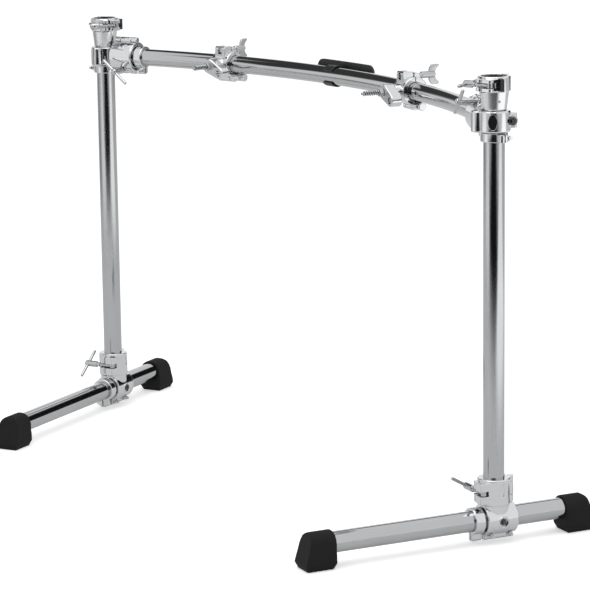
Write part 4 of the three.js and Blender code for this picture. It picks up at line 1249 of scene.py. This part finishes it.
def add_accessory_clamp(side):
    """Clamp that travels on the bar and carries a swivelling arm jaw."""
    body = f"{side}_accessory_clamp"
    turn = math.radians(ACCESSORY_TURN[side])
    along = Vector((math.cos(turn), -math.sin(turn), 0))
    away = Vector((math.sin(turn), math.cos(turn), 0))
    orbit = ARC_RADIUS - ACCESSORY_INSET
    here = axes(along, away, UP, (orbit * math.sin(turn), ARC_Y + orbit * math.cos(turn), BAR_HEIGHT))
    bore_gap = SEAT + ACCESSORY_BORE
    collar = (ACCESSORY_RADIUS, ACCESSORY_LENGTH, ACCESSORY_EARS)
    kit = CollarKit("accessory_clamp", BAR_RADIUS, *collar, bore_gap)
    spot = axes(UP, BACK, LEFT)
    lug_start = ACCESSORY_LENGTH / 2 - CAST_EDGE - LUG_RADIUS
    lug_end = ACCESSORY_LENGTH / 2 + LUG_LENGTH
    gate_room = ACCESSORY_LENGTH / 2 + RUN
    hole = lug_end - LUG_RADIUS
    lug = carve(
        rod((lug_start, LUG_BACK, -LUG_DROP), (lug_end, LUG_BACK, -LUG_DROP), LUG_RADIUS, LUG_EDGE),
        ("DIFFERENCE", box(-OVERRUN, gate_room, -SPLIT / 2, OVERRUN, -OVERRUN, OVERRUN)),
        ("DIFFERENCE", rod((hole, -OVERRUN, -LUG_DROP), (hole, OVERRUN, -LUG_DROP), LUG_BORE, 0, SMALL)),
    )
    boss = rod((0, 0, 0), (0, -ARM_BOSS_REACH, 0), ARM_BOSS_RADIUS, ARM_BOSS_EDGE)
    bar_bore = rod((-OVERRUN, 0, 0), (OVERRUN, 0, 0), BAR_RADIUS + bore_gap, 0, ROUND)
    casting = kit.casting(spot, adding(boss), adding(lug) + taking(bar_bore))
    dressed(f"{side}_accessory_clamp_body", "casting", casting, here, body)
    kit.add_latch(here @ spot, side)

    def arm_rod(x, z, start, end, radius, edge=0, segments=FINE):
        return rod((x, start, z), (x, end, z), radius, edge, segments)

    jaw_back = -ARM_BOSS_REACH - RUN
    jaw_front = jaw_back - ARM_JAW_THICKNESS
    lean = math.degrees(math.atan2(ARM_LOBE_DROP, ARM_LOBE_SIDE))
    lobe = (ARM_LOBE_SIDE, -ARM_LOBE_DROP)
    outline = [
        *arc(0, 0, ARM_JAW_RADIUS, 90 - lean, 270 - lean),
        *arc(*lobe, ARM_LOBE_RADIUS, -90 - lean, 90 - lean),
    ]
    jaw = cut(
        placed(prism(outline, 0, ARM_JAW_THICKNESS, CAST_EDGE), axes(RIGHT, UP, FRONT, (0, jaw_back, 0))),
        arm_rod(0, 0, -OVERRUN * 2, 0, ARM_BOLT_RADIUS + SEAT, 0, SMALL),
        arm_rod(*lobe, -OVERRUN * 2, 0, ARM_BORE),
    )
    jaw_node = f"{side}_accessory_arm_jaw"
    dressed(jaw_node, "casting", jaw, here, jaw_node)

    nut_start = jaw_front - SEAT
    nut_end = nut_start - ARM_NUT_LENGTH
    nut = arm_rod(0, 0, nut_start, nut_end, ARM_NUT_RADIUS, ARM_BOLT_EDGE, 6)
    shank_ends = -ARM_BOSS_REACH - SEAT, -ARM_BOLT_REACH
    shank = arm_rod(0, 0, *shank_ends, ARM_SHANK_RADIUS, ARM_BOLT_EDGE, SMALL)
    node_name = f"{side}_accessory_arm_bolt"
    dressed(node_name, "steel", join(shank, nut), here, body, "bolt_chrome")
    forward = here @ Matrix.Rotation(math.pi / 2, 4, "X")
    thread_ends = ARM_THREAD_START - nut_end, ARM_BOLT_REACH - ARM_THREAD_INSET
    screw = thread(ARM_SHANK_RADIUS, *thread_ends, ARM_THREAD_PITCH, ARM_THREAD_DEPTH)
    piece(f"{node_name}_thread", screw, forward, body, "bolt_chrome", (), DARK_STEEL)
    spring_ends = ARM_SPRING_START - nut_end, ARM_BOLT_REACH - ARM_SPRING_INSET
    spring = coil(ARM_BOLT_RADIUS + ARM_SPRING_WIRE, ARM_SPRING_WIRE, *spring_ends, ARM_SPRING_TURNS)
    piece(f"{node_name}_spring", spring, forward, body, "bolt_chrome")


def add_name_plate():
    """Blank name plate behind the bar with its spring clip."""
    body = "bar_assembly"
    here = Matrix.Translation((0, ARC_Y, BAR_HEIGHT))
    near = ARC_RADIUS + BAR_RADIUS + PLATE_STANDOFF
    far = near + PLATE_THICKNESS
    left_turn = math.degrees(math.pi / 2 - PLATE_LEFT / ARC_RADIUS)
    right_turn = math.degrees(math.pi / 2 - PLATE_RIGHT / ARC_RADIUS)
    shell = arc(0, 0, far, right_turn, left_turn, PLATE_STEPS)
    shell += arc(0, 0, near, left_turn, right_turn, PLATE_STEPS)
    outline = rectangle(PLATE_LEFT, PLATE_RIGHT, -PLATE_DROP, PLATE_RISE)
    face = prism(outline, -far - OVERRUN, OVERRUN - near, 0, (2, 3), PLATE_CORNER)
    plate = carve(
        prism(shell, -PLATE_DROP - OVERRUN, PLATE_RISE + OVERRUN),
        ("INTERSECT", placed(face, axes(RIGHT, UP, FRONT))),
    )
    dressed("name_plate", "moulding", plate, here, body)

    turn = CLIP_SHIFT / ARC_RADIUS
    centre = (ARC_RADIUS * math.sin(turn), ARC_RADIUS * math.cos(turn), 0)
    along = Vector((math.cos(turn), -math.sin(turn), 0))
    away = Vector((math.sin(turn), math.cos(turn), 0))
    inner = BAR_RADIUS + CLIP_GAP
    outer = inner + CLIP_WALL
    open_half = CLIP_MOUTH / 2
    lips = 180 - open_half
    section = arc(0, 0, outer, -lips, lips, CLIP_STEPS) + arc(0, 0, inner, lips, -lips, CLIP_STEPS)
    half = CLIP_LENGTH / 2
    pad = box(inner, outer, -PLATE_DROP / 2, PLATE_DROP / 2, -half, half)
    clip = join(prism(section, -half, half, KEEN_EDGE), pad)
    dressed("name_plate_clip", "moulding", clip, here @ axes(away, UP, along, centre), body)


FOOT = rubber_foot()
dressed("curved_bar", "steel", curved_bar(), Matrix.Identity(4), "bar_assembly")
for side_name, side_sign in SIDES:
    add_leg(side_name, side_sign)
    add_post(side_name, side_sign)
    add_corner_clamp(side_name, side_sign)
    add_accessory_clamp(side_name)
add_name_plate()

# Camera, found from the tube edges in the photograph

YAW = math.radians(-55.33)
PITCH = math.radians(11.40)
ROLL = math.radians(0.75)
FOCAL_PIXELS = 2861
PHOTO_WIDTH = 590
SENSOR_WIDTH = 36
CAMERA_REACH = 100
CAMERA_SPOT = (4513.8, -3096.1, 1448.3)
forward = Vector((math.sin(YAW) * math.cos(PITCH), math.cos(YAW) * math.cos(PITCH), -math.sin(PITCH)))
level_right = Vector((math.cos(YAW), -math.sin(YAW), 0))
level_down = forward.cross(level_right)
picture_right = math.cos(ROLL) * level_right + math.sin(ROLL) * level_down
picture_down = math.cos(ROLL) * level_down - math.sin(ROLL) * level_right
camera_data = bpy.data.cameras.new("camera")
camera_data.sensor_width = SENSOR_WIDTH
camera_data.lens = SENSOR_WIDTH * FOCAL_PIXELS / PHOTO_WIDTH
camera_data.clip_end = CAMERA_REACH
camera = bpy.data.objects.new("camera", camera_data)
camera.matrix_world = axes(picture_right, -picture_down, -forward, RACK @ Vector(CAMERA_SPOT))
bpy.context.scene.collection.objects.link(camera)
bpy.context.scene.camera = camera

# Studio, in metres, with azimuths in degrees from the lens, positive to its right

PAPER_LIFT = 0.36
# Grey sheet of painted shade that dims the paper in the chrome's reflection
REFLECTION_SHADE_LEVEL = 0.6
REFLECTION_SHADE_RISE = 0.002
ROOM_LEVEL = 0.72
PAPER_WHITE = 0.97
FLOOR_SIZE = (120, 120)
REFLECTION_SHADE_SIZE = (30, 30)
to_camera = Vector((-math.sin(YAW), -math.cos(YAW), 0))

# Cards of painted reflection, seen only in the chrome: the dark ones paint shade there, the glowing ones
# paint light
# Azimuth, near end, far end, half width, brightness, soft ends, soft sides, opacity, height
PAINTED_FLOOR_REFLECTIONS = {
    "painted_dark_reflection_front": (0, 1.2, 9.0, 3.8, 0.012, (1.9, 0.1), 2.6, 1.0, 0.004),
    "painted_bright_reflection_right": (65, 1.1, 9.0, 1.9, 1.4, (1.2, 0.1), 0.9, 1.0, 0.006),
    "painted_bright_reflection_left": (-66, 1.6, 9.0, 1.7, 1.1, (1.6, 0.1), 0.9, 1.0, 0.006),
    "painted_grey_reflection_left": (-118, 2.6, 9.0, 1.5, 0.2, (1.4, 0.1), 0.9, 0.65, 0.008),
}

# Upright cards of painted reflection, seen only in the chrome; all are dark and paint shade there
# Azimuth, distance, bottom, top, half width, brightness, soft bottom and top, soft sides
PAINTED_UPRIGHT_REFLECTIONS = {
    "painted_dark_reflection_upright_front": (-3, 8.6, -0.1, 5.4, 4.6, 0.04, (0.1, 1.8), 2.2),
    "painted_dark_reflection_upright_right": (130, 4.2, 0.02, 3.3, 1.9, 0.012, (0.55, 0.6), 0.7),
    "painted_dark_reflection_upright_behind": (172, 4.3, 2.8, 4.7, 1.6, 0.02, (0.7, 0.3), 0.5),
    "painted_dark_reflection_upright_left": (-118, 4.2, 1.9, 5.4, 1.9, 0.06, (0.8, 0.8), 0.6),
    "painted_dark_reflection_upright_far_left": (-156, 4.1, 1.4, 5.8, 1.9, 0.06, (0.8, 0.8), 0.5),
}


def card(name, size, matrix, material, hidden=True):
    """Flat studio card. A hidden one shows only in reflections."""
    bm = bmesh.new()
    bmesh.ops.create_grid(bm, x_segments=1, y_segments=1, size=0.5)
    bmesh.ops.scale(bm, vec=(size[0], size[1], 1), verts=bm.verts)
    mesh = bpy.data.meshes.new(name)
    bm.to_mesh(mesh)
    bm.free()
    mesh.materials.append(material)
    made = bpy.data.objects.new(name, mesh)
    made.matrix_world = matrix
    bpy.context.scene.collection.objects.link(made)
    if hidden:
        made.visible_camera = False
        made.visible_diffuse = False
        made.visible_shadow = False
        made.visible_transmission = False


def seen_share(tree):
    """One where the lens, the chrome or something clear sees the white background."""
    path = tree.nodes.new("ShaderNodeLightPath")
    seen = Wire(tree, path.outputs["Is Camera Ray"]) + Wire(tree, path.outputs["Is Glossy Ray"])
    return (seen + Wire(tree, path.outputs["Is Transmission Ray"])).clamped()


def paper_floor():
    """White paper that keeps the rack's shadow."""
    material, tree = new_material("white_paper_floor")
    paper = node(tree, "ShaderNodeBsdfDiffuse", {}, {"Color": grey(PAPER_WHITE)})
    lift = node(tree, "ShaderNodeEmission", {}, {"Color": seen_share(tree) * PAPER_LIFT, "Strength": 1.0})
    output_shader(tree, node(tree, "ShaderNodeAddShader", {}, {0: paper, 1: lift}))
    return material


def reflection_shade_sheet():
    """Grey see-through sheet of painted shade that only the chrome sees: it darkens the white paper in the
    chrome's reflection.
    """
    material, tree = new_material("painted_reflection_shade")
    output_shader(tree, node(tree, "ShaderNodeBsdfTransparent", {}, {"Color": grey(REFLECTION_SHADE_LEVEL)}))
    return material


def flag_material(name, level, half, soft, opacity):
    """Card of painted reflection: a dark one paints shade and a glowing one paints light into the chrome. It
    fades out at its edges, through clear film.
    """
    material, tree = new_material(name)
    split = tree.nodes.new("ShaderNodeSeparateXYZ")
    tree.links.new(object_place(tree).socket, split.inputs[0])
    share = opacity
    for axis in (0, 1):
        across = Wire(tree, split.outputs[axis])
        for sign, width in zip((-1, 1), soft[axis]):
            reach = {"From Min": half[axis], "From Max": half[axis] - width, "To Min": 0.0, "To Max": 1.0}
            edge = node(
                tree,
                "ShaderNodeMapRange",
                {"interpolation_type": "SMOOTHSTEP"},
                {"Value": across * sign, **reach},
            )
            share = edge * share
    clear = node(tree, "ShaderNodeBsdfTransparent", {}, {})
    light = {"Color": grey(min(level, 1.0)), "Strength": max(level, 1.0)}
    glow = node(tree, "ShaderNodeEmission", {}, light)
    output_shader(tree, node(tree, "ShaderNodeMixShader", {}, {0: share, 1: clear, 2: glow}))
    return material


def flag(name, middle, x, y, half, soft, level, opacity):
    """Card of painted reflection that only the chrome sees. Soft edges run (low X, high X), (low Y, high Y).
    """
    material = flag_material(name, level, half, soft, opacity)
    card(name, (half[0] * 2, half[1] * 2), axes(x, y, x.cross(y), middle), material)


def heading(azimuth):
    return (Matrix.Rotation(math.radians(azimuth), 3, "Z") @ to_camera).normalized()


def floor_flag(name, azimuth, near, far, half_width, level, soft_ends, soft_side, opacity, rise):
    """Card of painted reflection lying on the floor, running away from the rack."""
    out = heading(azimuth)
    middle = out * ((near + far) / 2) + UP * rise
    half = ((far - near) / 2, half_width)
    flag(name, middle, out, UP.cross(out), half, (soft_ends, (soft_side, soft_side)), level, opacity)


def wall_flag(name, azimuth, distance, low, high, half_width, level, soft_ends, soft_side):
    """Card of painted reflection standing round the paper, its X upright."""
    out = heading(azimuth)
    middle = out * distance + UP * ((low + high) / 2)
    half = ((high - low) / 2, half_width)
    flag(name, middle, UP, UP.cross(out), half, (soft_ends, (soft_side, soft_side)), level, 1.0)


def lamp(name, spot, target, size, power):
    data = bpy.data.lights.new(name, "AREA")
    data.shape = "RECTANGLE"
    data.size, data.size_y = size
    data.energy = power
    made = bpy.data.objects.new(name, data)
    turn = (Vector(target) - Vector(spot)).to_track_quat("-Z", "Y")
    made.matrix_world = Matrix.Translation(spot) @ turn.to_matrix().to_4x4()
    bpy.context.scene.collection.objects.link(made)


def background(tree, level):
    return node(tree, "ShaderNodeBackground", {}, {"Color": grey(1), "Strength": level})


card("studio_floor", FLOOR_SIZE, Matrix.Identity(4), paper_floor(), False)
# Sheet of painted shade over the paper, seen only in the chrome's reflection
card("painted_floor_reflection_shade", REFLECTION_SHADE_SIZE, Matrix.Translation((0, 0, REFLECTION_SHADE_RISE)), reflection_shade_sheet())
for flag_name, row in PAINTED_FLOOR_REFLECTIONS.items():
    floor_flag(flag_name, *row)
for flag_name, row in PAINTED_UPRIGHT_REFLECTIONS.items():
    wall_flag(flag_name, *row)
lamp("overhead_softbox", spot=(0.6, -0.8, 4.2), target=(0, 0, 0.4), size=(3.2, 3.2), power=60)

world = bpy.data.worlds.new("studio")
world.use_nodes = True
bpy.context.scene.world = world
sky = world.node_tree
sky.nodes.clear()
levels = {0: seen_share(sky), 1: background(sky, ROOM_LEVEL), 2: background(sky, 1.0)}
node(sky, "ShaderNodeOutputWorld", {}, {"Surface": node(sky, "ShaderNodeMixShader", {}, levels)})

bpy.context.scene.view_settings.view_transform = "Standard"
